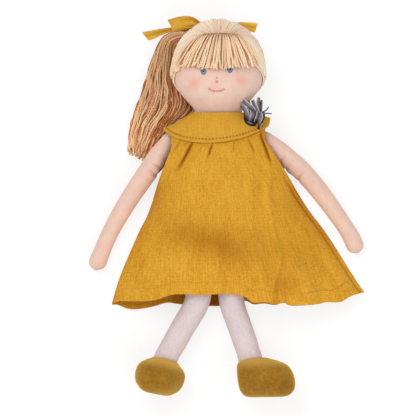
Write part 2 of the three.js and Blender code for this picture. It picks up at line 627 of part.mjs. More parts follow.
function addArm(name, side, armAngle, forearmAngle) {
  const shoulder = V(side * shoulderX, shoulderY, SHOULDER_Z);
  const elbow = shoulder.clone().addScaledVector(downAndOut(side, armAngle), UPPER_ARM_LENGTH).setZ(ELBOW_Z);
  const tip = elbow.clone().addScaledVector(downAndOut(side, forearmAngle), FOREARM_LENGTH).setZ(HAND_Z);
  const along = elbow.clone().sub(shoulder).normalize();
  const root = shoulder.clone().addScaledVector(along, -ARM_RADIUS);
  const onward = tip.clone().sub(elbow).normalize();
  const back = ELBOW_RADIUS * Math.tan(along.angleTo(onward) / 2) + GAP / 2; // clears the bend's inner side
  const upper = new THREE.LineCurve3(root, elbow.clone().addScaledVector(along, -back));
  const fore = new THREE.LineCurve3(elbow.clone().addScaledVector(onward, back), tip);
  const upperLength = upper.getLength();
  const creased = (stop, fromElbow) => {
    const share = clamp(fromElbow / CREASE_HALF, 0, 1);
    return { ...stop, high: stop.high * lerp(CREASE_SHARE, 1, Math.sqrt(share)) };
  };
  const rootStop = (share) => roundStop(ARM_RADIUS * share, ARM_RADIUS * domeShare(share, 1));
  const upperStops = [0.1, 0.25, 0.6, 1].map(rootStop);
  for (const fromElbow of [2.2 * CREASE_HALF, CREASE_HALF, CREASE_HALF / 3, 0]) {
    upperStops.push(creased(roundStop(upperLength - fromElbow, ELBOW_RADIUS), fromElbow));
  }
  const upperArm = stuffed(upper, upperStops, { openEnd: true });
  add(`${name}_upper_arm_skin`, upperArm.skin, SKIN_CLOTH);
  add(`${name}_upper_arm_stuffing`, upperArm.stuffing, FIBRE);

  const foreLength = fore.getLength();
  const wristAt = foreLength - HAND_LENGTH;
  const foreStops = [0, CREASE_HALF / 3, CREASE_HALF].map((at) => creased(roundStop(at, ELBOW_RADIUS), at));
  foreStops.push(roundStop(wristAt / 2, (ELBOW_RADIUS + WRIST_RADIUS) / 2));
  foreStops.push(roundStop(wristAt, WRIST_RADIUS));
  foreStops.push(roundStop(foreLength - HAND_RADIUS, HAND_RADIUS));
  for (const share of [...DOME_STEPS].reverse()) {
    foreStops.push(roundStop(foreLength - HAND_RADIUS * share, HAND_RADIUS * domeShare(share, 1)));
  }
  const forearm = stuffed(fore, foreStops);
  add(`${name}_forearm_skin`, forearm.skin, SKIN_CLOTH);
  add(`${name}_forearm_stuffing`, forearm.stuffing, FIBRE);
}

addArm('right', -1, RIGHT_ARM_ANGLE, RIGHT_FOREARM_ANGLE);
addArm('left', 1, LEFT_ARM_ANGLE, LEFT_FOREARM_ANGLE);

// Legs: a flat seam end that is round in plan, so that the leg can swing, then thigh and shin
const legTop = HIP_Y - SEAM_FLAT - GAP;

function legPoints(side, hipX, { shinAngle, shinLength, ankleZ }) {
  const knee = V(hipX, legTop - THIGH_LENGTH, KNEE_Z);
  const ankle = knee.clone().addScaledVector(downAndOut(side, shinAngle), shinLength).setZ(ankleZ);
  return { hip: V(hipX, legTop, TORSO_Z), knee, ankle };
}

// The shoe in its own axes: down from the mouth, forward to the toe, and sideways. Each level gives the share
// of the height, the half width, the reach of the toe and the reach of the heel.
const SHOE_LEVELS = [
  [0, SHOE_MOUTH, SHOE_MOUTH, SHOE_MOUTH],
  [0.14, 0.7 * SHOE_HALF_WIDTH, 0.6 * SHOE_TOE, SHOE_MOUTH],
  [0.3, 0.9 * SHOE_HALF_WIDTH, 0.85 * SHOE_TOE, 0.86 * SHOE_MOUTH],
  [0.5, SHOE_HALF_WIDTH, 0.97 * SHOE_TOE, 0.68 * SHOE_MOUTH],
  [0.7, 0.95 * SHOE_HALF_WIDTH, SHOE_TOE, 0.56 * SHOE_MOUTH],
  [0.86, 0.76 * SHOE_HALF_WIDTH, 0.93 * SHOE_TOE, 0.42 * SHOE_MOUTH],
  [0.94, 0.56 * SHOE_HALF_WIDTH, 0.82 * SHOE_TOE, 0.3 * SHOE_MOUTH],
];

function shoeRing(frame, [height, half, toe, heel], by) {
  const centre = frame.at.clone().addScaledVector(frame.down, SHOE_HEIGHT * height);
  return Array.from({ length: SHOE_SIDES }, (_, i) => {
    const a = (2 * Math.PI * i) / SHOE_SIDES;
    const reach = (Math.sin(a) > 0 ? toe : heel) - by;
    return centre.clone()
      .addScaledVector(frame.forward, reach * Math.sin(a))
      .addScaledVector(frame.across, (half - by) * Math.cos(a));
  });
}

function addLeg(name, side, hipX, pose) {
  const { hip, knee, ankle } = legPoints(side, hipX, pose);
  const { shinAngle, footAngle, toeAngle } = pose;
  const thighMid = hip.clone().lerp(knee, 0.5);
  const shinMid = knee.clone().lerp(ankle, 0.5);
  const path = new THREE.CatmullRomCurve3([hip, thighMid, knee, shinMid, ankle], false, 'centripetal');
  const length = path.getLength();
  const hipStop = (at) => {
    const swell = Math.sin((Math.PI / 2) * clamp(at / (2 * HIP_RADIUS), 0, 1));
    const depth = lerp(SEAM_END_HALF, SHIN_RADIUS, swell);
    return { at, wide: HIP_RADIUS * domeShare(at, HIP_RADIUS), high: depth, deep: depth };
  };
  const stops = [0.04, 0.12, 0.3, 0.6, 1].map((share) => hipStop(HIP_RADIUS * share));
  stops.push({ ...roundStop(2 * HIP_RADIUS, SHIN_RADIUS), wide: (HIP_RADIUS + SHIN_RADIUS) / 2 });
  for (const share of [0.42, 0.54, 0.68, 0.84]) stops.push(roundStop(length * share, SHIN_RADIUS));
  stops.push(roundStop(length - 1, ANKLE_RADIUS));
  const leg = stuffed(path, stops);
  add(`${name}_leg_skin`, leg.skin, STOCKING);
  add(`${name}_leg_stuffing`, leg.stuffing, FIBRE);

  const down = downAndOut(side, footAngle);
  const toeUp = V(side * Math.sin(degToRad(toeAngle)), 0, Math.cos(degToRad(toeAngle)));
  const forward = toeUp.addScaledVector(down, -toeUp.dot(down)).normalize();
  const frame = {
    down,
    forward,
    across: down.clone().cross(forward),
    at: ankle.clone().addScaledVector(down, -SHOE_TOP_OVER_ANKLE),
  };
  const levels = (by) => SHOE_LEVELS.map((level) => shoeRing(frame, level, by));
  add(`${name}_shoe_upper`, loft([...levels(0), ...levels(SHOE_WALL).reverse()], true), VELOUR);
  const legTilt = ANKLE_RADIUS * Math.sin(degToRad(shinAngle - footAngle)); // the leg's end dips by this
  const fillFrom = (SHOE_TOP_OVER_ANKLE + legTilt + 4 * GAP) / SHOE_HEIGHT;
  const fillMouth = [fillFrom, SHOE_MOUTH, SHOE_MOUTH, 0.9 * SHOE_MOUTH];
  const fillTop = shoeRing(frame, fillMouth, SHOE_WALL + GAP);
  const fill = [fillTop, ...levels(SHOE_WALL + GAP).slice(2)].reverse();
  add(`${name}_foot_stuffing`, capped(fill), FIBRE);
  const soleLevel = SHOE_LEVELS.at(-1);
  const soleStart = (SHOE_HEIGHT * soleLevel[0] + GAP) / SHOE_HEIGHT;
  const soleEnd = soleStart + SOLE_THICK / SHOE_HEIGHT;
  const soleRing = ([height, by]) => shoeRing(frame, [height, ...soleLevel.slice(1)], by);
  const soleRings = [[soleStart, 0], [(soleStart + soleEnd) / 2, 0], [soleEnd, SOLE_THICK / 2]].map(soleRing);
  add(`${name}_shoe_sole`, capped(soleRings), VELOUR);
}

addLeg('right', -1, RIGHT_HIP_X, {
  shinAngle: RIGHT_SHIN_ANGLE,
  shinLength: RIGHT_SHIN_LENGTH,
  ankleZ: RIGHT_ANKLE_Z,
  footAngle: RIGHT_FOOT_ANGLE,
  toeAngle: RIGHT_TOE_ANGLE,
});
addLeg('left', 1, LEFT_HIP_X, {
  shinAngle: LEFT_SHIN_ANGLE,
  shinLength: LEFT_SHIN_LENGTH,
  ankleZ: LEFT_ANKLE_Z,
  footAngle: LEFT_FOOT_ANGLE,
  toeAngle: LEFT_TOE_ANGLE,
});

// Collar: a round yoke from the neck edge out over the shoulders
const collarY = torsoTop + COLLAR_OVER;

function collarPoint(swing, share, lift = 0) {
  const s = Math.sin(swing);
  const c = Math.cos(swing);
  const edge = V(COLLAR_NECK_HALF * c, collarY, NECK_Z + COLLAR_NECK_RISE * s);
  const level = lerp(COLLAR_SIDE_DROP, COLLAR_FRONT_DROP, Math.abs(s) ** COLLAR_POINT);
  const drop = level - COLLAR_TILT * COLLAR_HALF * c;
  const fall = s > 0 ? COLLAR_RISE : COLLAR_BACK_FALL;
  const outer = V(COLLAR_HALF * c, collarY - drop, COLLAR_Z + fall * s);
  const bulge = 4 * share * (1 - share);
  const point = edge.lerp(outer, share);
  return point.addScaledVector(collarNormal(swing), lift + COLLAR_BULGE * bulge);
}

function collarNormal(swing) {
  return V(COLLAR_LEAN * Math.cos(swing), COLLAR_LEAN, Math.sin(swing)).normalize();
}

const collarSteps = 32;
const collarShares = [0, 0.35, 0.7, 1];
const swings = Array.from({ length: collarSteps }, (_, i) => (2 * Math.PI * i) / collarSteps);
const collarRings = swings.map((swing) => [
  ...collarShares.map((share) => collarPoint(swing, share, COLLAR_CLOTH / 2)),
  ...[...collarShares].reverse().map((share) => collarPoint(swing, share, -COLLAR_CLOTH / 2)),
]);
add('collar', loft(collarRings, true), GAUZE);

const pipingRings = swings.map((swing) => {
  const out = collarPoint(swing, 1).sub(collarPoint(swing, 0.7)).normalize();
  const normal = collarNormal(swing);
  const centre = collarPoint(swing, 1).addScaledVector(out, PIPING_RADIUS + GAP);
  return oval(centre, out, normal, roundStop(0, PIPING_RADIUS), CORD_SIDES);
});
add('collar_piping', loft(pipingRings, true), GAUZE);

// Dress: the front panel is gathered into the collar and drapes over body and legs, split at the fold line
const yokeY = collarY - YOKE_DROP;
const edgeX = (y) => [
  RIGHT_YOKE_X - RIGHT_FLARE * (yokeY - y),
  LEFT_YOKE_X + LEFT_FLARE * (yokeY - y),
];
const bodyTop = TORSO_Z + TORSO_DEPTH / 2 + DRESS_EASE + DRESS_CLOTH;
const legsTop = KNEE_Z + SHIN_RADIUS + SKIRT_EASE + DRESS_CLOTH;
const edgeFloor = 2 * DRESS_CLOTH + GAP;
const hemFront = (x) => HEM_Y
  + HEM_LIFT * Math.exp(-(((x + HEM_LIFT) / HEM_LIFT_HALF) ** 2))
  + HEM_CORNER_LIFT * smoothstep(x, 2 * COLLAR_HALF, 3 * COLLAR_HALF);

function drapeZ(x, y, u) {
  const [right, left] = edgeX(y);
  const away = clamp(x < 0 ? x / right : x / left, 0, 1);
  const ridge = lerp(bodyTop, legsTop, smoothstep(-y - SAG_TILT * x, SAG_START, SAG_END));
  const armhole = smoothstep(y, ARMHOLE_BOTTOM, ARMHOLE_TOP);
  const edge = lerp(edgeFloor, ARMHOLE_Z, armhole);
  const swell = (1 - away ** DRAPE_FLATNESS) ** DRAPE_FULLNESS;
  const fold = FOLD_DEPTH * Math.cos(2 * Math.PI * FOLDS * u) * Math.sin(Math.PI * u);
  return lerp(edge, ridge, swell) + fold * (1 - armhole / 2);
}

const TUCK_FROM = 28; // the gathered edge lies under the collar's rim up to this many degrees from its sides
const TUCK_LENGTH = 0.22; // share of the bodice over which it comes out from under the rim
function bodicePoint(u, v) {
  const swing = degToRad(lerp(180 - TUCK_FROM, TUCK_FROM, u));
  const tucked = collarPoint(swing, 1, -PIPING_RADIUS - 1.5 * GAP);
  const y = lerp(tucked.y, HIP_Y + GAP / 2, v);
  const [right, left] = edgeX(y);
  const out = smoothstep(v, 0, TUCK_LENGTH);
  const x = lerp(tucked.x, lerp(right, left, u), out);
  return V(x, y, lerp(tucked.z, drapeZ(x, y, u), out));
}

function skirtPoint(u, v) {
  const start = HIP_Y - GAP / 2;
  const [hemRight, hemLeft] = edgeX(HEM_Y);
  const y = lerp(start, hemFront(lerp(hemRight, hemLeft, u)), v);
  const [right, left] = edgeX(y);
  const x = lerp(right, left, u);
  return V(x, y, drapeZ(x, y, u));
}

add('bodice_front', sheet(26, 9, bodicePoint, DRESS_CLOTH), GAUZE);
add('skirt_front', sheet(26, 6, skirtPoint, DRESS_CLOTH), GAUZE);

// Back panels on the floor, with the overlapped opening and its tapes
const backTop = collarPoint(-Math.PI / 2, 1).y - 2 * PIPING_RADIUS - 2 * GAP;
const tapeStart = DRESS_CLOTH + GAP;
const upperLap = tapeStart + 2 * TAPE_THICK + 2 * GAP + DRESS_CLOTH;
const backBottom = HIP_Y + GAP / 2;

function backPanel(columnsX, zAt) {
  const columns = columnsX(0).length - 1;
  return sheet(columns, 1, (u, v) => {
    const y = lerp(backTop, backBottom, v);
    const x = columnsX(y)[Math.round(u * columns)];
    return V(x, y, zAt(x));
  }, DRESS_CLOTH);
}

const lapZ = (x) => lerp(DRESS_CLOTH, upperLap, clamp((x + OVERLAP_HALF + RAMP) / RAMP, 0, 1));
const rightColumns = (y) => [edgeX(y)[0], -OVERLAP_HALF - RAMP, -OVERLAP_HALF, OVERLAP_HALF];
add('bodice_back_right', backPanel(rightColumns, lapZ), GAUZE);
add('bodice_back_left', backPanel((y) => [-OVERLAP_HALF, edgeX(y)[1]], () => DRESS_CLOTH), GAUZE);

function tape(bottom) {
  const corners = [[-1, -1], [1, -1], [1, 1], [-1, 1]];
  const outline = corners.map(([x, y]) => [x * TAPE_HALF, (y * TAPE_LENGTH) / 2]);
  return prism(outline, bottom, bottom + TAPE_THICK);
}

add('closure_loop_tape', tape(tapeStart), TAPE);
add('closure_hook_tape', tape(tapeStart + TAPE_THICK + GAP), TAPE);

const hemBack = (x) => HEM_Y
  - BACK_HEM_DROP * (1 - smoothstep(x, -RAMP, COLLAR_HALF))
  + HEM_CORNER_LIFT * smoothstep(x, 2 * COLLAR_HALF, 3 * COLLAR_HALF);

function skirtBackPoint(u, v) {
  const [hemRight, hemLeft] = edgeX(HEM_Y);
  const y = lerp(HIP_Y - GAP / 2, hemBack(lerp(hemRight, hemLeft, u)), v);
  const [right, left] = edgeX(y);
  return V(lerp(right, left, u), y, DRESS_CLOTH);
}

add('skirt_back', sheet(12, 2, skirtBackPoint, DRESS_CLOTH), GAUZE);

// Corsage on the collar: a wrapped base with two layers of strips and two loose ends
const flowerSwing = degToRad(FLOWER_SWING);
const flowerSeat = collarPoint(flowerSwing, FLOWER_SHARE, COLLAR_CLOTH / 2 + GAP + FLOWER_THICK / 2);
const flowerBase = new THREE.SphereGeometry(1, 12, 6).scale(FLOWER_RADIUS, FLOWER_RADIUS, FLOWER_THICK / 2);
flowerBase.applyQuaternion(new THREE.Quaternion().setFromUnitVectors(UP, collarNormal(flowerSwing)));
add('flower_base', flowerBase.translate(flowerSeat.x, flowerSeat.y, flowerSeat.z), FELT);

const PETAL_TURNS = [-32, 6, 43, 80, -13, 24.5, 61.5]; // four below, three between them above
// Shares of a petal's length, and of its half width there
const PETAL_SHAPE = [[0, 0.2], [0.2, 0.5], [0.5, 1], [0.85, 0.8], [1, 0.25]];
PETAL_TURNS.forEach((turn, i) => {
  const layer = i < LOWER_PETALS ? 1 : 2;
  const out = V(Math.cos(degToRad(turn)), Math.sin(degToRad(turn)), 0);
  const across = V(-out.y, out.x, 0);
  const rings = PETAL_SHAPE.map(([share, width]) => {
    const section = { wide: PETAL_HALF * width, high: PETAL_THICK / 2, deep: PETAL_THICK / 2 };
    const centre = flowerSeat.clone().addScaledVector(out, FLOWER_RADIUS / 2 + PETAL_LENGTH * share);
    centre.z += PETAL_SEAT + (layer - 1) * (PETAL_THICK + GAP) + PETAL_RISE * share * Math.sqrt(layer);
    return oval(centre, across, UP, section, STRIP_SIDES);
  });
  add(`flower_petal_${i + 1}`, capped(rings), FELT);
});

[['upper', UPPER_END_TURN], ['lower', LOWER_END_TURN]].forEach(([name, turn]) => {
  const out = V(Math.cos(degToRad(turn)), Math.sin(degToRad(turn)), 0);
  const normal = collarNormal(flowerSwing);
  const level = out.clone().addScaledVector(normal, -out.dot(normal));
  const start = level.setLength(FLOWER_RADIUS + GAP).add(flowerSeat);
  const points = [0, 0.35, 0.7, 1].map((share) => (
    start.clone()
      .addScaledVector(out, TENDRIL_LENGTH * share)
      .add(V(0, TENDRIL_CURL * share ** 2, TENDRIL_CURL * Math.sin(Math.PI * share)))
  ));
  add(`flower_end_${name}`, cord(points, TENDRIL_RADIUS, 6), FELT);
});

export default doll;
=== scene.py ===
"""A stuffed rag doll lying on its back on a pale floor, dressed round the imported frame.

Shapes are worked out in millimetres in the frame's axes (+Y to the crown, +Z out of the chest)
and scaled to metres when a mesh is made. "Right" and "left" are the doll's own.
"""

import math

import bpy
import numpy as np
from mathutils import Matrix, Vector
from mathutils.bvhtree import BVHTree


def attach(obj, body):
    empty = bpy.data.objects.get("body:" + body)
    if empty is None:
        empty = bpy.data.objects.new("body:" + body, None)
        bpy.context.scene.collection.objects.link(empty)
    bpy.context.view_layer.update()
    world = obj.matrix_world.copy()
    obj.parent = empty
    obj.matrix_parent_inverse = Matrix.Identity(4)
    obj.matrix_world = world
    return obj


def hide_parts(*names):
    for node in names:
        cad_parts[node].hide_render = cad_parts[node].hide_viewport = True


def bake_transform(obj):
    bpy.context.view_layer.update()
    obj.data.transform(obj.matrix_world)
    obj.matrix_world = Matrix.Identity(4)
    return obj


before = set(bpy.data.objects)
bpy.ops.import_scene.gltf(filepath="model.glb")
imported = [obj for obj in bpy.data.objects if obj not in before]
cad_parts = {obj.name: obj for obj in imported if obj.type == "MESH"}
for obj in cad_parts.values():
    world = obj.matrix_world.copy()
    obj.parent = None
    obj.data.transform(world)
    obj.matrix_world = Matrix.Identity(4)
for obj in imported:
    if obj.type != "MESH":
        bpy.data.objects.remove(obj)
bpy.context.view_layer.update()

MM = 0.001
PI, TAU = math.pi, 2 * math.pi
X, _, Z = np.eye(3)


# Numbers and curves


def lerp(a, b, t):
    return a + (b - a) * t


def ease(x, a, b):
    """A smooth step from 0 at a to 1 at b."""
    t = np.clip((np.asarray(x, float) - a) / (b - a), 0, 1)
    return t * t * (3 - 2 * t)


def bump(x, centre, half):
    """A round hill, 1 at the centre."""
    return np.exp(-(((np.asarray(x, float) - centre) / half) ** 2))


def unit(v):
    return v / np.maximum(np.linalg.norm(v, axis=-1, keepdims=True), 1e-9)


def stack(*values):
    """Coordinates as one array of points."""
    return np.stack(np.broadcast_arrays(*values), -1)


def circle(sides):
    return np.arange(sides) * TAU / sides


def lengths(line):
    """How far along a line each of its points lies."""
    return np.concatenate([[0], np.cumsum(np.linalg.norm(np.diff(line, axis=0), axis=1))])


def resample(line, count):
    far = lengths(line)
    at = np.linspace(0, far[-1], count)
    return stack(*(np.interp(at, far, values) for values in line.T))


def through(points, count):
    """A smooth curve through the points, as count points spaced evenly along it."""
    p = np.asarray(points, float)
    ends = np.vstack([2 * p[0] - p[1], p, 2 * p[-1] - p[-2]])
    t = np.linspace(0, 1, 24, endpoint=False)[:, None]
    runs = []
    for a, b, c, d in zip(ends, ends[1:], ends[2:], ends[3:]):
        square, cube = 2 * a - 5 * b + 4 * c - d, 3 * b - a - 3 * c + d
        runs.append(0.5 * (2 * b + (c - a) * t + square * t**2 + cube * t**3))
    return resample(np.vstack([*runs, p[-1:]]), count)


def knots(x, pairs):
    """A smooth function of x through (x, value) pairs."""
    dense = through(pairs, 200)
    order = np.argsort(dense[:, 0])
    return np.interp(x, dense[order, 0], dense[order, 1])


# Meshes


def put(name, verts, faces, material, fab=None, **scalars):
    """A smooth mesh object from points in millimetres, with its cloth coordinates in the attribute fab."""
    mesh = bpy.data.meshes.new(name)
    mesh.from_pydata((np.reshape(verts, (-1, 3)) * MM).tolist(), [], faces)
    mesh.polygons.foreach_set("use_smooth", [True] * len(mesh.polygons))
    mesh.update()
    obj = bpy.data.objects.new(name, mesh)
    bpy.context.collection.objects.link(obj)
    mesh.materials.append(material)
    mark(obj, fab, **scalars)
    return obj


def mark(obj, fab=None, **scalars):
    """Keeps cloth coordinates, and numbers for the material, with the points of a mesh."""
    if fab is not None:
        fab = np.reshape(fab, (-1, np.shape(fab)[-1]))
        vectors = np.zeros((len(fab), 3), np.float32)
        vectors[:, :fab.shape[1]] = fab
        layer = obj.data.attributes.new("fab", "FLOAT_VECTOR", "POINT")
        layer.data.foreach_set("vector", vectors.ravel())
    for key, values in scalars.items():
        layer = obj.data.attributes.new(key, "FLOAT", "POINT")
        layer.data.foreach_set("value", np.asarray(values, np.float32).ravel())


def stand_for(obj, slot, *nodes):
    """The piece takes the place of nodes of the frame, which it hides; slot is not used."""
    if nodes:
        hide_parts(*nodes)


def fit(obj, body, slot, *nodes):
    """The piece rides on a body and stands for nodes of the frame."""
    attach(obj, body)
    stand_for(obj, slot, *nodes)


def points_of(obj):
    co = np.zeros(len(obj.data.vertices) * 3, np.float32)
    obj.data.vertices.foreach_get("co", co)
    return co.reshape(-1, 3).astype(float) / MM


def set_points(obj, points):
    obj.data.vertices.foreach_set("co", (points * MM).astype(np.float32).ravel())
    obj.data.update()


def grid_faces(rows, columns, wrap=False, flip=False, start=0):
    """Quads of a grid of points, row after row; wrap joins each row's end to its start."""
    r, c = np.meshgrid(np.arange(rows - 1), np.arange(columns if wrap else columns - 1), indexing="ij")
    d = (c + 1) % columns
    corners = (r, c), (r, d), (r + 1, d), (r + 1, c)
    quads = np.stack([start + i * columns + j for i, j in corners], -1).reshape(-1, 4)
    return (quads[:, ::-1] if flip else quads).tolist()


def close_rings(rings, first, last):
    """Points and faces of rings in a row, with a pole at each end."""
    rows, sides = rings.shape[:2]
    pole, end = rows * sides, (rows - 1) * sides
    faces = grid_faces(rows, sides, True)
    faces += [[pole, (i + 1) % sides, i] for i in range(sides)]
    faces += [[pole + 1, end + i, end + (i + 1) % sides] for i in range(sides)]
    return np.vstack([rings.reshape(-1, 3), first, last]), faces


def turned(faces):
    return [f[::-1] for f in faces]


def bake_modifiers(obj):
    graph = bpy.context.evaluated_depsgraph_get()
    done = obj.evaluated_get(graph)
    mesh = bpy.data.meshes.new_from_object(done, preserve_all_data_layers=True, depsgraph=graph)
    obj.modifiers.clear()
    obj.data = mesh


def thicken(obj, thick, levels=0):
    """Gives a sheet the thickness of its cloth, half to each side, and rounds it off so many times."""
    solid = obj.modifiers.new("cloth", "SOLIDIFY")
    solid.thickness, solid.offset, solid.use_even_offset = thick * MM, 0.0, False
    if levels:
        obj.modifiers.new("smooth", "SUBSURF").levels = levels
    bake_modifiers(obj)


def cloth(name, points, thick, material, fab=None, levels=0, flip=True, **scalars):
    """A thick sheet from a grid of points; its cloth coordinates are x and y where none are given."""
    faces = grid_faces(*points.shape[:2], flip=flip)
    obj = put(name, points, faces, material, points[..., :2] if fab is None else fab, **scalars)
    thicken(obj, thick, levels)
    return obj


def refine(obj):
    obj.modifiers.new("smooth", "SUBSURF").levels = 1
    bake_modifiers(obj)


def normals_along(paths):
    """Two turning-free normals of paths, an array of strands by points by 3."""
    tangent = unit(np.gradient(paths, axis=1))
    first = tangent[:, 0]
    normals = [unit(np.cross(first, np.eye(3)[np.argmin(np.abs(first), axis=1)]))]
    for i in range(1, paths.shape[1]):
        t = tangent[:, i]
        normals.append(unit(normals[-1] - np.sum(normals[-1] * t, 1, keepdims=True) * t))
    normals = np.stack(normals, 1)
    return normals, np.cross(tangent, normals)


def tubes(name, paths, radii, material, sides=6, seed=1, fold=0.0):
    """Round strands in one mesh.

    fab holds the angle round a strand, the length along it and a number of its own.
    """
    paths = np.asarray(paths, float)
    strands, steps = paths.shape[:2]
    normal, across = normals_along(paths)
    a = circle(sides)
    c, s = np.cos(a)[:, None], np.sin(a)[:, None]
    ring = normal[:, :, None] * c + across[:, :, None] * s
    verts = paths[:, :, None] + ring * np.broadcast_to(radii, (strands, steps))[..., None, None]
    step = np.linalg.norm(np.diff(paths, axis=1), axis=2)
    far = np.concatenate([np.zeros((strands, 1)), np.cumsum(step, 1)], 1)[..., None]
    own = np.random.default_rng(seed).random((strands, 1, 1))
    faces, ends = [], []
    for first in range(0, strands * steps * sides, steps * sides):
        last = first + (steps - 1) * sides
        faces += grid_faces(steps, sides, True, start=first)
        ends += [list(range(first, first + sides))[::-1], list(range(last, last + sides))]
    along = np.broadcast_to(far / far[:, -1:], verts.shape[:3])
    # painted shade per point along the strands, darker where they lie in shade
    fold = np.repeat(np.broadcast_to(fold, (strands, steps)), sides)
    return put(name, verts, faces + ends, material, stack(a, far, own), along=along, fold=fold)


SWELL_FRAMES = 18


def swell(obj, pressure, most, pins=()):
    """Lets the cloth swell like a stuffed skin, each point moving at most so many millimetres."""
    before = points_of(obj)
    cloth = obj.modifiers.new("stuffing", "CLOTH")
    s = cloth.settings
    s.quality, s.mass, s.air_damping = 6, 0.05, 4.0
    s.tension_stiffness = s.compression_stiffness = 12
    s.bending_stiffness = 0.4
    s.use_pressure, s.uniform_pressure_force = True, pressure
    s.effector_weights.gravity = 0
    if pins:
        obj.vertex_groups.new(name="pins").add(pins, 1.0, "REPLACE")
        s.vertex_group_mass = "pins"
    cloth.collision_settings.use_collision = False
    cloth.point_cache.frame_start, cloth.point_cache.frame_end = 1, SWELL_FRAMES
    scene = bpy.context.scene
    for f in range(1, SWELL_FRAMES + 1):
        scene.frame_set(f)
    move = points_of(obj.evaluated_get(bpy.context.evaluated_depsgraph_get())) - before
    obj.modifiers.remove(cloth)
    scene.frame_set(1)
    size = np.linalg.norm(move, axis=1, keepdims=True)
    set_points(obj, before + move * np.minimum(1, most / np.maximum(size, 1e-9)))
    obj.vertex_groups.clear()


def drop_on(tree, x, y, lift):
    """The point of a surface under a place seen from the front, lifted off it, and the normal there."""
    hit, normal, _, _ = tree.ray_cast(Vector((x, y, 300)), Vector((0, 0, -1)))
    return np.array(hit + normal * lift), np.array(normal)


# Materials


def srgb(colour):
    """A screen colour, 0 to 255, as the linear colour that a node takes."""
    c = np.array(colour) / 255
    linear = np.where(c <= 0.04045, c / 12.92, ((c + 0.055) / 1.055) ** 2.4)
    return (*linear.tolist(), 1)


class Nodes:
    """A node tree with short names for the nodes that are used here."""

    def __init__(self, tree):
        self.tree = tree

    def plug(self, socket, value):
        if isinstance(value, bpy.types.NodeSocket):
            self.tree.links.new(value, socket)
        elif value is not None:
            socket.default_value = value

    def node(self, kind, *values, out=0, **props):
        n = self.tree.nodes.new("ShaderNode" + kind)
        for key, value in props.items():
            setattr(n, key, value)
        for socket, value in zip(n.inputs, values):
            self.plug(socket, value)
        return n.outputs[out]

    def light_path(self, ray):
        return self.node("LightPath", out=ray)

    def math(self, operation, *values):
        return self.node("Math", *values, operation=operation)

    def total(self, *terms):
        """The sum of terms, each a value and its weight."""
        result = 0.0
        for value, weight in terms:
            result = self.math("MULTIPLY_ADD", value, weight, result)
        return result

    def ramp(self, value, low, high, to_low=0.0, to_high=1.0):
        return self.node("MapRange", value, low, high, to_low, to_high)


class Shade(Nodes):
    """A Principled material over the cloth coordinates of a mesh."""

    def __init__(self, name, roughness=0.9, sheen=0.0, tint=(255, 255, 255), sheen_rough=0.5, specular=0.25):
        self.material = bpy.data.materials.new(name)
        self.material.use_nodes = True
        super().__init__(self.material.node_tree)
        self.bsdf = self.tree.nodes["Principled BSDF"]
        for key, value in {
            "Roughness": roughness, "Specular IOR Level": specular,
            "Sheen Weight": sheen, "Sheen Roughness": sheen_rough, "Sheen Tint": srgb(tint),
        }.items():
            self.bsdf.inputs[key].default_value = value

    def attribute(self, name, out="Fac"):
        return self.node("Attribute", attribute_name=name, out=out)

    def fab(self):
        """Across the cloth, along it, and a third number that strands have of their own."""
        return self.node("SeparateXYZ", self.attribute("fab", "Vector")).node.outputs

    def noise(self, stretch, detail=2.0, rough=0.5):
        """Noise over the cloth, 0 to 1, with its coordinates stretched."""
        place = self.node("VectorMath", self.attribute("fab", "Vector"), stretch, operation="MULTIPLY")
        return self.node("TexNoise", place, None, 1.0, detail, rough)

    def wave(self, coordinate, period):
        """A sine, 0 to 1, along a coordinate in millimetres."""
        turn = self.math("MULTIPLY", coordinate, TAU / period)
        return self.math("MULTIPLY_ADD", self.math("SINE", turn), 0.5, 0.5)

    def mix(self, factor, a, b):
        """From colour a to colour b, each a socket or a screen colour."""
        n = self.tree.nodes.new("ShaderNodeMix")
        n.data_type = "RGBA"
        for i, value in ((0, factor), (6, a), (7, b)):
            self.plug(n.inputs[i], srgb(value) if isinstance(value, tuple) else value)
        return n.outputs[2]

    def done(self, colour, height, depth, strength, rough):
        """Plugs in the colour, a relief so many millimetres deep, and the roughness."""
        relief = self.tree.nodes.new("ShaderNodeBump")
        self.plug(relief.inputs["Strength"], strength)
        self.plug(relief.inputs["Distance"], depth * MM)
        self.plug(relief.inputs["Height"], height)
        for key, value in (("Base Color", colour), ("Normal", relief.outputs[0]), ("Roughness", rough)):
            self.plug(self.bsdf.inputs[key], value)
        return self.material


def knit(name, light, shade, blush=None, print_colour=None, rib=1.5):
    """Fine stockinette: upright wales, small loops along them painted darker in their hollows, and a slightly
    mottled dye.
    """
    m = Shade(name, sheen=0.25, tint=(255, 236, 226), sheen_rough=0.4, specular=0.2)
    across, along, _ = m.fab()
    wale = m.wave(m.total((m.noise((0.12, 0.03, 0.05)), 1.2), (across, 1)), rib)
    loop = m.wave(m.total((wale, 0.5), (along, 1)), rib * 0.8)
    height = m.total((loop, 0.35), (wale, 1))
    mottle = m.noise((0.09, 0.09, 0.09), 4, 0.6)
    speck = m.noise((1.6, 0.5, 1))
    # relief paints the low parts of the loops darker, as shade; dye is the mottled tone
    relief, dye = m.ramp(height, 0, 1.35, -0.22, 0.22), m.ramp(mottle, 0.3, 0.7, 0.14, 0.64)
    colour = m.mix(m.total((relief, 1), (dye, 1), (speck, 0.22)), shade, light)
    if print_colour:
        blot = m.noise((0.42, 0.36, 0.3), 4, 0.75)
        colour = m.mix(m.ramp(blot, 0.45, 0.63, 0, 0.6), colour, print_colour)
    if blush:
        colour = m.mix(m.attribute("blush"), colour, blush)
    return m.done(colour, height, 0.22, 0.5, m.ramp(mottle, 0.3, 0.7, 0.82, 0.95))


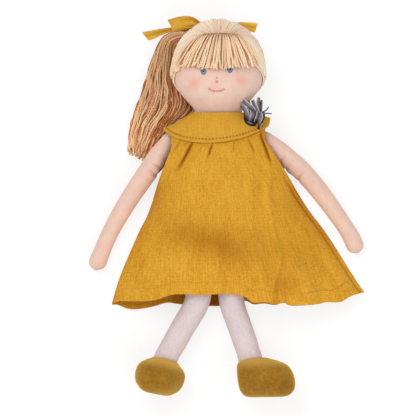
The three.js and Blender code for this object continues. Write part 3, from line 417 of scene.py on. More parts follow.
def gauze(name, light, shade, deep, crinkle=1.0):
    """Double gauze: a plain weave that shrank into fine upright crinkles, with painted shade in the crinkles'
    valleys and, where the mesh says, in its folds.
    """
    m = Shade(name, sheen=0.04, tint=(255, 200, 90), specular=0.05)
    across, along, _ = m.fab()
    thread = m.math("MAXIMUM", m.wave(across, 0.85), m.math("MULTIPLY", m.wave(along, 0.95), 0.9))
    line = m.noise((0.6, 0.065, 0.3), 3, 0.62)
    fine = m.noise((1.3, 0.4, 0.5), 2, 0.6)
    cross = m.noise((0.16, 0.9, 0.3))
    wide = m.noise((0.04, 0.03, 0.04), 3, 0.6)
    bend = m.noise((0.22, 0.045, 0.1), 3)
    crease = m.total((line, 0.65), (cross, 0.45), (fine, 0.8))
    ribs = m.wave(m.total((bend, 9), (across, 1)), 2.6)
    picks = m.wave(m.total((line, 5), (along, 1)), 3.1)
    # the crinkles' valleys and the threads' hollows are painted darker, as shade
    base = m.ramp(crease, 0.7, 1.2, -0.52, 0.48)
    tone = m.total((base, 1), (thread, 0.12), (ribs, 0.2), (picks, 0.1), (wide, 0.7))
    # painted shade: towards the deep colour where the per-point shade attribute says
    colour = m.mix(m.attribute("fold"), m.mix(tone, shade, light), deep)
    height = m.total((crease, crinkle), (thread, 0.18))
    return m.done(colour, height, 0.9, 0.55, m.ramp(fine, 0.3, 0.7, 0.84, 0.96))


def yarn(name, light, shade, root_shade, contrast=0.75):
    """Loosely plied wool: a slanting twist round each strand, painted darker in its grooves, a tone of its own, and
    painted shade at the roots and in the gaps.
    """
    m = Shade(name, sheen=0.3, tint=(255, 232, 200), sheen_rough=0.35, specular=0.3)
    angle, along, own = m.fab()
    ply = m.wave(m.total((angle, 2), (along, TAU / 2.6)), TAU)
    hairs = m.noise((1.5, 0.35, 40), 3, 0.6)
    spread = m.ramp(own, 0, 1, 0.375 - contrast / 2, 0.375 + contrast / 2)
    tone = m.total((spread, 1), (ply, 0.35), (m.ramp(hairs, 0.3, 0.7, -0.15, 0.25), 1))
    # painted shade: darker over the first fifth of each strand, and where the per-point shade attribute says
    painted_shade = m.math("MAXIMUM", m.ramp(m.attribute("along"), 0.0, 0.2, 0.4, 0), m.attribute("fold"))
    colour = m.mix(painted_shade, m.mix(tone, shade, light), root_shade)
    height = m.total((hairs, 0.5), (ply, 1))
    return m.done(colour, height, 0.3, 0.6, m.ramp(hairs, 0.3, 0.7, 0.7, 0.92))


def pile(name, light, shade, sheen_colour, deep, tint, brush):
    """Velour or felt: short pile with drifting tone painted darker in its hollows, a painted sheen and highlight
    where the mesh says, and painted shade in folds.
    """
    m = Shade(name, sheen=brush, tint=tint, sheen_rough=0.35, specular=0.15)
    drift = m.noise((0.08, 0.08, 0.08), 4, 0.6)
    nap = m.noise((0.9, 0.9, 0.9), 3, 0.7)
    strokes = m.noise((0.34, 0.34, 0.34), 4, 0.7)
    shades = m.ramp(drift, 0.3, 0.7, -0.1, 0.5), m.ramp(strokes, 0.35, 0.65, -0.2, 0.28)
    tone = m.total((nap, 0.6), (shades[0], 1), (shades[1], 1))
    # painted sheen and highlight where the per-point sheen attribute says, then painted shade towards the deep
    # colour
    colour = m.mix(m.attribute("nap"), m.mix(tone, shade, light), sheen_colour)
    colour = m.mix(m.attribute("fold"), colour, deep)
    return m.done(colour, nap, 0.5, 0.6, m.ramp(nap, 0.3, 0.7, 0.85, 1))


def floss(name, light, shade):
    """Embroidery thread, with a fine twist painted darker in its grooves."""
    m = Shade(name, roughness=0.6, sheen=0.2, specular=0.35)
    angle, along, own = m.fab()
    twist = m.wave(m.total((angle, 0.12), (along, 1)), 0.55)
    colour = m.mix(m.total((own, 0.5), (twist, 0.5)), shade, light)
    return m.done(colour, twist, 0.12, 0.6, m.ramp(twist, 0, 1, 0.5, 0.7))


SKIN_CLOTH = knit("skin_knit", (243, 212, 196), (228, 188, 170), blush=(236, 158, 130))
# the limbs' blush colour is a warm painted shade, for the inner arms and the elbow's creases
LIMB_CLOTH = knit("limb_knit", (243, 211, 194), (228, 187, 167), blush=(190, 116, 82))
STOCKING = knit("stocking_knit", (233, 223, 227), (212, 199, 204), print_colour=(232, 190, 172), rib=1.2)
# the third colour of each gauze is the painted shade in its folds and gathers
GAUZE = gauze("mustard_gauze", (236, 179, 64), (196, 130, 20), (150, 76, 0))
COLLAR_GAUZE = gauze("mustard_collar", (224, 170, 62), (204, 146, 42), (150, 88, 12), 0.7)
RIBBON = gauze("mustard_ribbon", (244, 194, 80), (222, 166, 54), (160, 96, 14), 0.5)
# the third colour of each wool is its painted shade, at the roots and between strands
WOOL = yarn("blond_wool", (255, 229, 196), (234, 190, 146), (184, 102, 48))
CAP_WOOL = yarn("cap_wool", (255, 241, 220), (244, 213, 180), (208, 160, 114))
# the ponytail's wool is a darker copy of the same wool, as painted shade
SHADED_TAIL_WOOL = yarn("shaded_tail_wool", (255, 214, 164), (186, 106, 50), (100, 40, 8), 1.5)
# pile colours: light, shade, then the painted sheen colour and the painted shade colour
VELOUR = pile("mustard_velour", (170, 123, 40), (128, 87, 20), (214, 170, 82), (96, 60, 10), (255, 200, 90), 1.0)
FELT = pile("grey_felt", (140, 131, 134), (92, 84, 87), (204, 199, 202), (26, 21, 24), (190, 185, 190), 0.2)
TAPE = pile("closing_tape", (226, 190, 110), (196, 156, 78), (238, 206, 130), (150, 110, 50), (250, 230, 180), 0.2)
PINK = floss("pink_floss", (240, 166, 174), (216, 116, 136))
BLUE = floss("blue_floss", (158, 182, 206), (98, 128, 162))
DARK = floss("dark_floss", (66, 82, 108), (34, 46, 70))
OCHRE = floss("ochre_floss", (170, 110, 22), (132, 78, 8))
HEM_FLOSS = floss("hem_floss", (210, 150, 42), (186, 124, 24))
TAN = floss("tan_floss", (226, 190, 152), (196, 152, 112))


# Head

HEAD_C = np.array([1.5, 106.1, 36.0])
HEAD_TOP, HEAD_BASE = 157.1, 66.6
HEAD_HALF, HEAD_FRONT, HEAD_BACK = 44.0, 33.0, 31.0
HEAD_AXES = np.array([HEAD_HALF, HEAD_TOP - HEAD_C[1], HEAD_FRONT])
CHIN_HALF, CHIN_DEEP, CHIN_Z = 23.6, 15.5, 28.5
# level, then how far the face stands out before the middle of the section
FACE_RISE = [
    (60, 15), (68.1, 17.8), (72, 22.8), (76, 28.0), (80, 31.5), (84, 33.3), (90, 34), (100, 33.5),
    (106.1, 33), (112, 33),
]
# level, then the share of the way from the chin's width to the cheeks' width
JAW = [
    (60, -0.02), (68.1, 0.0), (72, 0.1), (76, 0.26), (80, 0.44), (84, 0.61), (88, 0.745), (93, 0.885),
    (99.5, 0.98), (106.1, 1.0), (112, 1.0),
]
CHEEKS = (-23.2, 96.4), (24.0, 99.0)


def head_section(y):
    """Middle height, half width, rise in front and depth behind of the head's section at a level."""
    y = np.asarray(y, float)
    below = ease(HEAD_C[1] - y, 0, HEAD_C[1] - HEAD_BASE)
    above = np.clip((y - HEAD_C[1]) / (HEAD_TOP - HEAD_C[1]), 0, 1)
    crown = np.sqrt(np.maximum(1 - above**2, 1e-6))
    jaw = 1 - np.where(y < HEAD_C[1], knots(y, JAW), 1.0)
    return (
        lerp(HEAD_C[2], CHIN_Z, below),
        lerp(HEAD_HALF, CHIN_HALF, jaw) * crown,
        np.where(y < HEAD_C[1], knots(y, FACE_RISE), HEAD_FRONT) * crown,
        lerp(HEAD_BACK, CHIN_DEEP, jaw) * crown,
    )


def head_level(p):
    """Below 0 inside the head."""
    z0, wide, high, deep = head_section(p[..., 1])
    rise = p[..., 2] - z0
    value = ((p[..., 0] - HEAD_C[0]) / wide) ** 2 + (rise / np.where(rise > 0, high, deep)) ** 2 - 1
    return np.where(p[..., 1] > HEAD_TOP, 1e3, value)


def off_head(p, lift):
    """Points lifted along the normals of the ellipsoid that the head nearly is."""
    return p + unit((p - HEAD_C) / HEAD_AXES**2) * np.asarray(lift)[..., None]


def on_head(directions, lift):
    """Points over the head's surface, seen from its middle."""
    d = unit(np.asarray(directions, float))
    near, far = np.full(d.shape[:-1], 5.0), np.full(d.shape[:-1], 90.0)
    for _ in range(34):
        mid = (near + far) / 2
        inside = head_level(HEAD_C + d * mid[..., None]) < 0
        near, far = np.where(inside, mid, near), np.where(inside, far, mid)
    return off_head(HEAD_C + d * near[..., None], lift)


def front_of_head(x, y, lift=0.0):
    """Points over the head's front, seen from above the doll."""
    z0, wide, high, _ = head_section(y)
    share = np.clip(1 - ((x - HEAD_C[0]) / wide) ** 2, 0.0, 1)
    return off_head(stack(x, y, z0 + high * np.sqrt(share)), lift)


def make_head():
    """The head's skin, creased under the chin and blushed on the cheeks."""
    a = circle(96)
    up = np.sin(a)
    crown = np.sin(np.linspace(0, PI / 2, 40)) * 0.9995
    level = np.concatenate([
        np.linspace(HEAD_BASE, HEAD_C[1], 38, endpoint=False),
        lerp(HEAD_C[1], HEAD_TOP, crown),
    ])[:, None]
    z0, wide, rise, deep = head_section(level)
    crease = 0.7 * bump(level, 71.5, 1.6) * np.clip(up, 0, 1)
    rings = stack(HEAD_C[0] + wide * np.cos(a), level, z0 + np.where(up > 0, rise, deep) * up - crease)
    points, faces = close_rings(rings, [HEAD_C[0], HEAD_BASE, CHIN_Z], [HEAD_C[0], HEAD_TOP, HEAD_C[2]])
    x, y, z = points.T
    blush = np.zeros(len(points))
    for cheek_x, cheek_y in CHEEKS:
        far = np.hypot((x - cheek_x) / 5.6, (y - cheek_y) / 5.0)
        blush = np.maximum(blush, 0.62 * np.exp(-(far**2)) * (z > 36))
    across = np.where(z > 40, x, np.arctan2(z - 32, x - HEAD_C[0]) * 40)
    obj = put("head", points, turned(faces), SKIN_CLOTH, stack(across, y), blush=blush)
    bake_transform(obj)
    stand_for(obj, "skin_cloth", "head_skin", "head_stuffing")
    return BVHTree.FromPolygons(points_of(obj).tolist(), [list(p.vertices) for p in obj.data.polygons])


face = make_head()


# Face


def stitches(name, runs, radius, material, body, node=None, slot="thread", sides=6, steps=7):
    """Short stitches, each from one point to another, arched a little over the cloth along its normal."""
    t = np.linspace(0, 1, steps)
    arch = radius * (0.8 * np.sin(PI * t) - 0.4)[:, None]
    paths = [lerp(a, b, t[:, None]) + normal * arch for a, b, normal in runs]
    taper = np.interp(t, [0, 0.15, 0.85, 1], [0.55, 1, 1, 0.55])
    obj = tubes(name, paths, radius * taper, material, sides)
    fit(obj, body, slot, *([node] if node else []))


def face_run(x0, y0, x1, y1, lift):
    a, normal = drop_on(face, x0, y0, lift)
    b, _ = drop_on(face, x1, y1, lift)
    return a, b, normal


def face_disc(name, x, y, radius, thick, material, *nodes):
    """A small padded disc of satin stitch that follows the face, with its rim tucked in."""
    sides = 28
    rings = [(r, thick * math.sqrt(max(0.0, 1.02 - r * r)), 0.04 * r) for r in np.linspace(0.04, 1, 7)]
    rings += [(1.0, -0.25, 0.0), (0.9, -0.25, 0.0)]
    points, fab = [], []
    for r, lift, ripple in rings:
        for a in circle(sides):
            place = x + radius * r * math.cos(a), y + radius * r * math.sin(a)
            points.append(drop_on(face, *place, lift + ripple * math.cos(14 * a))[0])
            fab.append((a * 3, radius * r, (a * 7) % 1))
    faces = grid_faces(len(rings), sides, True, flip=True)
    faces += [list(range(sides)), list(range(len(points) - sides, len(points)))[::-1]]
    fit(put(name, points, faces, material, fab), "head", "eye_thread", *nodes)


IRIS, PUPIL = 2.7, 1.25
EYE_LIFT = 0.45


def make_eye(side, x, y):
    """An iris with spokes, a pupil that looks up a little, and an upper lid."""
    def rim(angle, radius=IRIS):
        return x + radius * math.cos(angle), y + radius * math.sin(angle)

    spokes = [face_run(*rim(a, 1.1), *rim(a), EYE_LIFT) for a in circle(24)]
    lid = [face_run(*rim(math.radians(a)), *rim(math.radians(a + 19)), EYE_LIFT) for a in range(15, 165, 15)]
    face_disc(f"{side}_eye_iris", x, y, IRIS, 0.55, BLUE, f"{side}_eye")
    stitches(f"{side}_eye_spokes", spokes, 0.24, BLUE, "head", None, "eye_thread")
    face_disc(f"{side}_eye_pupil", x, y + 0.6, PUPIL, 0.95, DARK)
    stitches(f"{side}_eye_lid", lid, 0.34, DARK, "head", None, "eye_thread")


# places of both ends seen from the front, and the lift off the face
NOSE = [
    (-0.8, 102.0, 0.5, 101.4, 0.0), (-1.1, 98.6, 0.9, 98.2, 0.25), (-1.0, 97.4, 0.9, 97.1, 0.25),
    (0.6, 98.7, -0.6, 97.0, 0.45),
]
MOUTH_STITCHES, MOUTH_DASH = 7, 0.6


def mouth_stitches():
    """A dashed smile."""
    def smile(x):
        return x, 88.5 + 3.0 * ((x + 0.2) / 8.6) ** 2

    x = np.linspace(-8.4, 8.3, MOUTH_STITCHES + 1)
    runs = [face_run(*smile(a), *smile(lerp(a, b, MOUTH_DASH)), 0.1) for a, b in zip(x, x[1:])]
    stitches("mouth_stitches", runs, 0.95, PINK, "head", "mouth")


make_eye("right", -13.4, 107.4)
make_eye("left", 12.8, 109.2)
stitches("nose_stitches", [face_run(*run) for run in NOSE], 0.75, PINK, "head", "nose")
mouth_stitches()


# Wool hair

PARTING_Y, PARTING_X = 143.8, 3.0
TIE = np.array([-41.3, 143.5, 25.0])
# the hairline beside the face, seen from the front: level and sideways place
HAIRLINE = {
    1: [(140, 30), (118, 37.5), (111, 42), (101, 46.2), (90, 49)],
    -1: [(140, -28), (118, -35.5), (113, -40.5), (104, -42.6), (98, -45.5), (90, -47)],
}
HAIR_END = 97.0


def wig_base():
    """The cloth cap that the wool is sewn to, down to the hairline and the nape."""
    sides, rows, lift = 72, 30, 1.3
    a = circle(sides) - PI / 2
    edge = knots(np.sin(a), [(-1, 128), (-0.5, 124), (0, 100), (0.35, 84), (0.7, 72), (1, 66)])
    t = np.linspace(0.02, 1, rows)[:, None]
    tip = t * np.radians(edge)
    d = stack(np.sin(tip) * np.cos(a), np.cos(tip), np.sin(tip) * np.sin(a))
    points = on_head(d, np.full(tip.shape, lift)).reshape(-1, 3)
    top = on_head(np.array([[0, 1.0, 0]]), np.array([lift]))
    faces = grid_faces(rows, sides, True)
    faces += [[rows * sides, (i + 1) % sides, i] for i in range(sides)]
    fab = stack(a, t * 60, np.arange(sides) % 7 / 7).reshape(-1, 3)
    obj = put("wig_base", np.vstack([points, top]), faces, CAP_WOOL, np.vstack([fab, [[0, 0, 0.5]]]),
              along=np.full(rows * sides + 1, 0.3))
    thicken(obj, 1.2)
    fit(obj, "head", "yarn", "hair_cap")


def arcs(start, headings, reach, count=30):
    """Directions along great circles from start points, so many degrees along each heading."""
    d0 = unit(start - HEAD_C)
    right = unit(X - np.sum(d0 * X, -1, keepdims=True) * d0)
    up = np.cross(d0, right)
    h = right * np.cos(headings)[:, None] + up * np.sin(headings)[:, None]
    t = np.linspace(0, 1, count) * np.radians(reach)[:, None]
    return d0[:, None] * np.cos(t)[..., None] + h[:, None] * np.sin(t)[..., None]


def cap_strands():
    """Wool combed from the parting over the crown, each strand down to the hairline."""
    local = np.random.default_rng(3)
    count = 84
    share = np.linspace(0, 1, count) ** 0.85
    heading = np.radians(knots(share, [(0, -40), (0.3, -8), (0.55, 30), (0.8, 66), (1, 92)]))
    off_parting = knots(share, [(0, 17), (0.3, 16.6), (0.55, 14.5), (0.8, 7.5), (1, 0.3)])
    longest = knots(share, [(0, 90), (0.25, 100), (0.45, 98), (0.7, 92), (1, 86)])
    paths, radii = [], []
    for side in (1, -1):
        turn = heading + local.normal(0, 0.022, count)
        turn = turn if side > 0 else PI - turn
        x = PARTING_X + side * off_parting + local.normal(0, 0.35, count)
        y = PARTING_Y + 0.8 - 1.2 * ((x - PARTING_X) / 16.5) ** 2
        start = front_of_head(x, y)
        reach = longest + local.normal(0, 1.5, count)
        for _ in range(2):  # the second time each strand stops at the hairline
            d = arcs(start, turn, reach)
            px, py, pz = np.moveaxis(on_head(d, np.zeros(d.shape[:2])), -1, 0)
            past = (side * px < side * knots(py, HAIRLINE[side])) & (py < 118) & (pz > 34)
            past |= py < HAIR_END
            stop = np.where(past.any(1), past.argmax(1), d.shape[1]) / d.shape[1]
            reach = reach * np.minimum(1, stop + 0.01 + 0.02 * local.random(count))
        own = (count, 1)
        t = np.linspace(0, 1, d.shape[1])
        lift = 2.9 + local.normal(0, 0.4, own) + 0.35 * np.sin(t * 7 + local.random(own) * 6)
        paths.append(on_head(d, lift * lerp(0.8, 1, ease(t, 0, 0.1))))
        size = lerp(0.72, 1.02, ease(t, 0, 0.3)) * (1 + local.normal(0, 0.08, own))
        radii.append(size * lerp(1, 0.8, ease(t, 0.94, 1)))
    obj = tubes("hair_cap_strands", np.concatenate(paths), np.concatenate(radii), CAP_WOOL, 7, 21)
    fit(obj, "head", "yarn")


# angle round the head from the left side by the back, then the level where the wool starts
NAPE = [
    (0, 0.02), (0.5, -0.14), (1.0, -0.5), (1.6, -0.74), (2.2, -0.6), (2.8, -0.25), (3.3, 0.0), (3.7, 0.1),
]


def back_strands():
    """Wool drawn round the back of the head to the tie."""
    local = np.random.default_rng(5)
    count = 96
    own = (count, 1)
    ring = np.radians(np.linspace(0, 205, count))
    nape = unit(stack(np.cos(ring), knots(ring, NAPE), -np.sin(ring)))
    tie = unit(TIE + np.array([2.0, -1.0, -2.0]) - HEAD_C)
    t = np.linspace(0, 1, 34)
    gap = np.arccos(np.clip(nape @ tie, -1, 1))[:, None]
    from_tie, from_nape = np.sin((1 - t) * gap)[..., None], np.sin(t * gap)[..., None]
    d = (from_tie * tie + from_nape * nape[:, None]) / np.sin(gap)[..., None]
    lift = 2.5 + local.normal(0, 0.35, own) + 0.3 * np.sin(t * 8 + local.random(own) * 6)
    radius = lerp(0.6, 1.3, ease(t, 0, 0.45)) * (1 + local.normal(0, 0.06, own))
    fit(tubes("hair_back_strands", on_head(d, lift), radius, WOOL, 6, 23), "head", "yarn")


FRINGE_HALF, FRINGE_ARC = 15.2, 0.9
# strands, lift, radius, how much shorter, and how much painted shade (the under layer lies in shade)
FRINGE_LAYERS = (37, 5.5, 1.08, 0.0, 0.0), (33, 3.6, 1.0, 0.7, 0.72)


def fringe_strands():
    """Two layers of wool from the parting stitch down to the eyes."""
    local = np.random.default_rng(8)
    t = np.linspace(0, 1, 30)
    paths, radii, layer_shades = [], [], []
    for count, base, width, short, depth in FRINGE_LAYERS:
        own = (count, 1)
        s = np.linspace(-1, 1, count)[:, None] + local.normal(0, 0.016, own)
        x0 = PARTING_X + FRINGE_HALF * s + local.normal(0, 0.3, own)
        y0 = PARTING_Y - FRINGE_ARC * s**2
        x1 = 0.8 + 36.3 * s + local.normal(0, 0.55, own)
        y1 = 110.4 + short + 4.2 * np.abs(s) ** 2.2 + local.normal(0, 0.9, own)
        x = lerp(x0, x1, t ** lerp(1, 0.72, np.abs(s) ** 1.5)) + local.normal(0, 0.6, own) * np.sin(PI * t)
        x = x + 0.42 * np.sin(t * lerp(8, 13, local.random(own)) + 6 * local.random(own)) * t
        puff = np.sin(PI * np.clip(t * 0.9 + 0.02, 0, 1))
        lift = base * lerp(0.62, 1, ease(t, 0, 0.16)) + 0.9 * puff
        lift = lift + local.normal(0, 0.42, own) * ease(t, 0, 0.3)
        paths.append(front_of_head(x, lerp(y0, y1, t), lift))
        size = width * lerp(0.5, 1, ease(t, 0, 0.4)) * (1 + local.normal(0, 0.07, own))
        radii.append(size * lerp(1, 0.86, ease(t, 0.95, 1)))
        layer_shades.append(np.full(x.shape, depth))
    paths, radii, layer_shades = (np.concatenate(values) for values in (paths, radii, layer_shades))
    fit(tubes("fringe_strands", paths, radii, WOOL, 8, 25, layer_shades), "head", "yarn", "fringe")


def parting():
    """A row of stitches that holds the fringe."""
    runs = []
    places = np.linspace(-13.0, 19.0, 15)
    for x in stack(places[:-1], places[1:]):
        y = PARTING_Y - FRINGE_ARC * ((x - PARTING_X) / FRINGE_HALF) ** 2
        a, b = front_of_head(x + [0.25, -0.25], y, np.full(2, 4.9))
        runs.append((a, b, unit(a - HEAD_C)))
    stitches("parting_stitches", runs, 0.5, TAN, "head", "parting_stitch", "yarn")


# down from the tie, then from the tie sideways and in height, half width and half depth
TAIL_STOPS = np.array([
    [4.6, 17, -9, 4.6, 4.0],
    [1.4, 9, -4, 5.6, 5.0],
    [1.8, 2, -0.5, 6.6, 6.0],
    [5, -4.6, 0, 7.6, 6.2],
    [11.5, -7.2, -5, 11.2, 7.4],
    [21.5, -8.0, -11, 13.8, 8.4],
    [33.5, -9.4, -15.0, 16.6, 8.0],
    [53.5, -7.6, -16.4, 23.2, 7.2],
    [71.5, -9.4, -17.8, 27.8, 6.0],
    [89.5, -21.0, -19.0, 22.6, 5.2],
    [108, -28.6, -19.6, 17.6, 4.6],
    [125, -32.0, -20.2, 15.0, 4.2],
])
TAIL_OVER_TIE = 4.6  # the front locks are laid over the tie
TAIL_CRIMP = 0.7
TAIL_LOWEST = 2.0  # over the floor


def ponytail():
    """Locks of wool that lie over one another, each of a few crimped strands."""
    local = np.random.default_rng(14)
    locks, each, steps = 38, 8, 60
    lock = np.repeat(np.arange(locks), each)[:, None]
    own = lock.shape
    line = through(TAIL_STOPS, 90)
    run = unit(stack(np.gradient(line[:, 1]), -np.gradient(line[:, 0])))
    hang = ease(line[:, 0], 4, 16)
    line = np.column_stack([line, lerp(-run[:, 1], 1, hang), lerp(run[:, 0], 0, hang)])
    # the place of each strand across the tail and from its back to its front, and where it is cut
    a = local.permutation(np.sin(np.linspace(-1, 1, locks) * 1.45))[lock] + local.normal(0, 0.1, own)
    b = local.permutation(np.linspace(-0.95, 0.95, locks))[lock] + local.normal(0, 0.3, own)
    cut = 1 - np.abs(local.normal(0, 0.026, own)) - np.abs(local.normal(0, 0.03, locks))[lock]
    t = np.linspace(0, 1, steps) * (cut - 0.05 * np.clip(-a, 0, 1) ** 2)
    share = np.linspace(0, 1, len(line))
    down, x, z, wide, half, over_x, over_y = (np.interp(t, share, values) for values in line.T)
    drift = local.normal(0, 0.09, locks)[lock] * np.sin(2.6 * t)
    drift = drift + local.normal(0, 0.11, own) * ease(t, 0.1, 1)
    stray = (local.random(own) < 0.16) * local.normal(0, 0.35, own)
    side = a + drift + stray * np.sin(PI * t)
    side = np.where(np.abs(side) > 1, np.sign(side) * (1 + 0.15 * (np.abs(side) - 1)), side)
    room = np.sqrt(np.maximum(1 - np.clip(side, -1, 1) ** 2, 0.08))
    level = np.clip(np.clip(b, -1, 1) + np.abs(stray) * 1.5, -1, 1.15)
    over = TAIL_OVER_TIE * bump(down, 0.5, 6) * ease(level, -0.2, 0.35)
    speed = lerp(22, 42, local.random(own))
    phase = local.random(own) * TAU
    crimp_x = np.sin(t * speed + phase + 2 * np.sin(t * 7 + phase)) * ease(t, 0.12, 0.45)
    crimp_z = np.cos(t * speed * 0.7 + phase) * ease(t, 0.05, 0.3)
    px = TIE[0] + x + side * (wide + 0.6 * over) * over_x + TAIL_CRIMP * crimp_x
    py = TIE[1] - down + side * wide * over_y
    pz = TIE[2] + z + level * half * room + over + TAIL_CRIMP * crimp_z
    radius = lerp(0.55, 0.8, ease(t, 0, 0.3)) * (1 + local.normal(0, 0.1, own))
    # painted shade: darker between the locks near the tie, and on the side by the face
    depth = lerp(0.26, 1.0, ease(-level, -0.6, 0.4)) * (1 - 0.7 * ease(-level, 0.45, 0.95))
    depth = depth * lerp(1.0, 0.02, ease(t, 0.4, 0.85))
    shaded = 0.8 * ease(side, 0.25, 0.85) * (1 - ease(t, 0.5, 0.85)) * ease(t, 0.12, 0.3)
    shaded = shaded * (local.random(own) < 0.7)
    paths = stack(px, py, np.maximum(pz, TAIL_LOWEST))
    obj = tubes("ponytail_strands", paths, radius, SHADED_TAIL_WOOL, 6, 27, np.maximum(depth, shaded))
    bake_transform(obj)
    stand_for(obj, "tail_yarn", "ponytail")


def hair_tie():
    """Three turns of elastic."""
    t = np.linspace(0, 1, 120)
    a = t * 3 * TAU
    ring = 7.3 + 0.3 * np.sin(a * 5)
    path = TIE + stack(ring * np.cos(a), lerp(-2.2, 2.2, t), ring * np.sin(a))
    fit(tubes("hair_tie_elastic", path[None], 0.85, TAN, 8), "head", "tape", "hair_tie")


wig_base()
cap_strands()
back_strands()
fringe_strands()
parting()
ponytail()
hair_tie()


# Bow

KNOT = np.array([-13.5, 153.2, 13.6])


def cloth_strip(name, node, centre, side, half, pucker):
    """A folded strip of cloth along a line: side is its width's direction, pucker lifts it along its normal."""
    w = np.linspace(-1, 1, 13)
    normal = unit(np.cross(unit(np.gradient(centre, axis=0)), side))
    rise = pucker(np.linspace(0, 1, len(centre))[:, None], w)
    across = half[:, None] * w
    verts = centre[:, None] + side[:, None] * across[..., None] + normal[:, None] * rise[..., None]
    fab = stack(across, lengths(centre)[:, None])
    # painted shade: darker where the strip dips into its gathers
    fold = np.clip(0.12 - rise * 0.5, 0, 0.75)
    obj = cloth(name, verts, 0.8, RIBBON, fab, levels=1, flip=False, fold=fold)
    fit(obj, "head", "gauze", node)
    return obj


def bow_knot():
    """A strip wound once round the bow's middle."""
    steps = 26
    a = np.linspace(0, 1.04 * TAU, 14)
    centre = resample(KNOT + stack(0.8 * np.sin(a * 2), 5.2 * np.cos(a), 4.4 * np.sin(a)), steps)
    side = np.tile(unit(np.array([1.0, 0.12, 0.05])), (steps, 1))

    def pucker(s, w):
        return 0.5 * np.cos(w * 7 + s * 5)

    cloth_strip("bow_knot_wrap", "bow_knot", centre, side, np.full(steps, 4.2), pucker)


def bow_loop(name, node, places, half, lean, seed):
    """A loop from the knot out to its fold and back under itself.

    half is its half width at the knot, its half width at the fold and the power of the curve between.
    """
    steps = 44
    phase = np.random.default_rng(seed).random(3) * TAU
    arc = np.sin(PI * np.linspace(0, 1, steps))
    side = unit(stack(-0.4 * arc, 1.0, lean))

    def gather(s, w):
        pleats = 1.1 * np.cos(w * 6.5 + phase[0]) + 0.7 * np.cos(w * 11 + phase[1])
        return pleats * (1 - np.sin(PI * s)) ** 1.2 + 0.5 * np.cos(w * 3.2 + phase[2])

    low, high, power = half
    line = through(KNOT + np.array(places), steps)
    cloth_strip(name, node, line, side, lerp(low, high, arc**power), gather)


def bow_tail(name, node, places, slant):
    """A tail from the knot, creased along its middle, with its end cut aslant."""
    steps, half_end = 30, 4.6
    line = through(KNOT + np.array(places), steps)
    run = unit(line[-1] - line[0])
    side = np.tile(unit(np.array([-run[1], run[0], 0.0])), (steps, 1))
    half = lerp(1.7, half_end, ease(np.linspace(0, 1, steps), 0.3, 1))

    def crease(s, w):
        return 0.4 * np.sin(s * 9) * w - bump(w, 0.05, 0.3) * lerp(1.2, 0.5, s)

    obj = cloth_strip(name, node, line, side, half, crease)
    p = points_of(obj)
    ahead = (p - line[0]) @ run / np.linalg.norm(line[-1] - line[0])
    cut = slant * ease(ahead, 0.7, 1) * ((p - line[-1]) @ side[0] / half_end + 1)
    set_points(obj, p - run * cut[:, None])


bow_knot()
bow_loop(
    "bow_loop_outer_right", "bow_loop_right",
    [(-3, 1.6, 1.4), (-11, 4.8, 5.6), (-21, 3.9, 9), (-29.5, 1.3, 8.6), (-32.6, 0.3, 5), (-30, 0.3, 1),
     (-21, 1.7, -1.4), (-11, 1.8, -3), (-3, 0.4, -2)],
    (3.2, 7.6, 0.6), 0.16, 4,
)
bow_loop(
    "bow_loop_outer_left", "bow_loop_left",
    [(3, 0.4, 0), (11, 2.4, -0.6), (20, 2.1, -1.2), (26, 1.7, -3.4), (20, 1.3, -5.6), (11, 1.6, -5.4), (3, 0.2, -3)],
    (2.6, 4.2, 1.0), 0.05, 6,
)
bow_tail(
    "bow_tail_strip_right", "bow_tail_right",
    [(-4, -0.4, -4.2), (-20, -0.3, -7.2), (-38, -3.7, -8.6), (-52, -7.7, -10.4), (-61.2, -9.7, -11.6)],
    2.6,
)
bow_tail(
    "bow_tail_strip_left", "bow_tail_left",
    [(4, -0.4, -4.4), (18, 1.9, -8), (34, 1.7, -10.4), (44, 0.5, -11.4), (51.4, -0.9, -11.9)],
    -1.6,
)


# Body, neck, arms, legs

HIP_Y = -63.5
TORSO_TOP, TORSO_Z = 56.2, 27.2


def ring_tube(name, line, wide, high, deep, material, sides):
    """A closed limb: rings across a line, with a pole at each end."""
    tangent = unit(np.gradient(line, axis=0))
    up = unit(Z - tangent * tangent[:, 2:])
    across = np.cross(tangent, up)
    a = circle(sides)
    spread = wide[:, None] * np.cos(a)
    rise = np.where(np.sin(a) > 0, high[:, None], deep[:, None]) * np.sin(a)
    rings = line[:, None] + across[:, None] * spread[..., None] + up[:, None] * rise[..., None]
    points, faces = close_rings(rings, line[0], line[-1])
    far = lengths(line)
    around = np.abs(np.where(a > PI, a - TAU, a)) * np.mean(wide)
    fab = stack(around, far[:, None]).reshape(-1, 2)
    return put(name, points, turned(faces), material, np.vstack([fab, [[0, 0], [0, far[-1]]]]))


def dome(from_end, radius):
    """Share of the full radius so far from a round end."""
    return np.sqrt(np.clip(1 - (1 - np.clip(from_end / radius, 0, 1)) ** 2, 0.0, 1))


def make_torso():
    """The stuffed body, flat at the hip seam and round at the shoulders."""
    y = np.linspace(TORSO_TOP, HIP_Y, 44)
    belly = np.sin(PI / 2 * np.clip((y - HIP_Y - 1) / 40, 0, 1))
    shoulder = dome(TORSO_TOP - y, 15)
    wide = lerp(22, lerp(33, 37, belly), shoulder)
    high = lerp(15, lerp(2.2, 22, belly), shoulder)
    obj = ring_tube("torso", stack(0.0, y, TORSO_Z), wide, high, high, SKIN_CLOTH, 48)
    swell(obj, 2.0, 0.4)
    fit(obj, "torso", "skin_cloth", "torso_skin", "torso_stuffing")


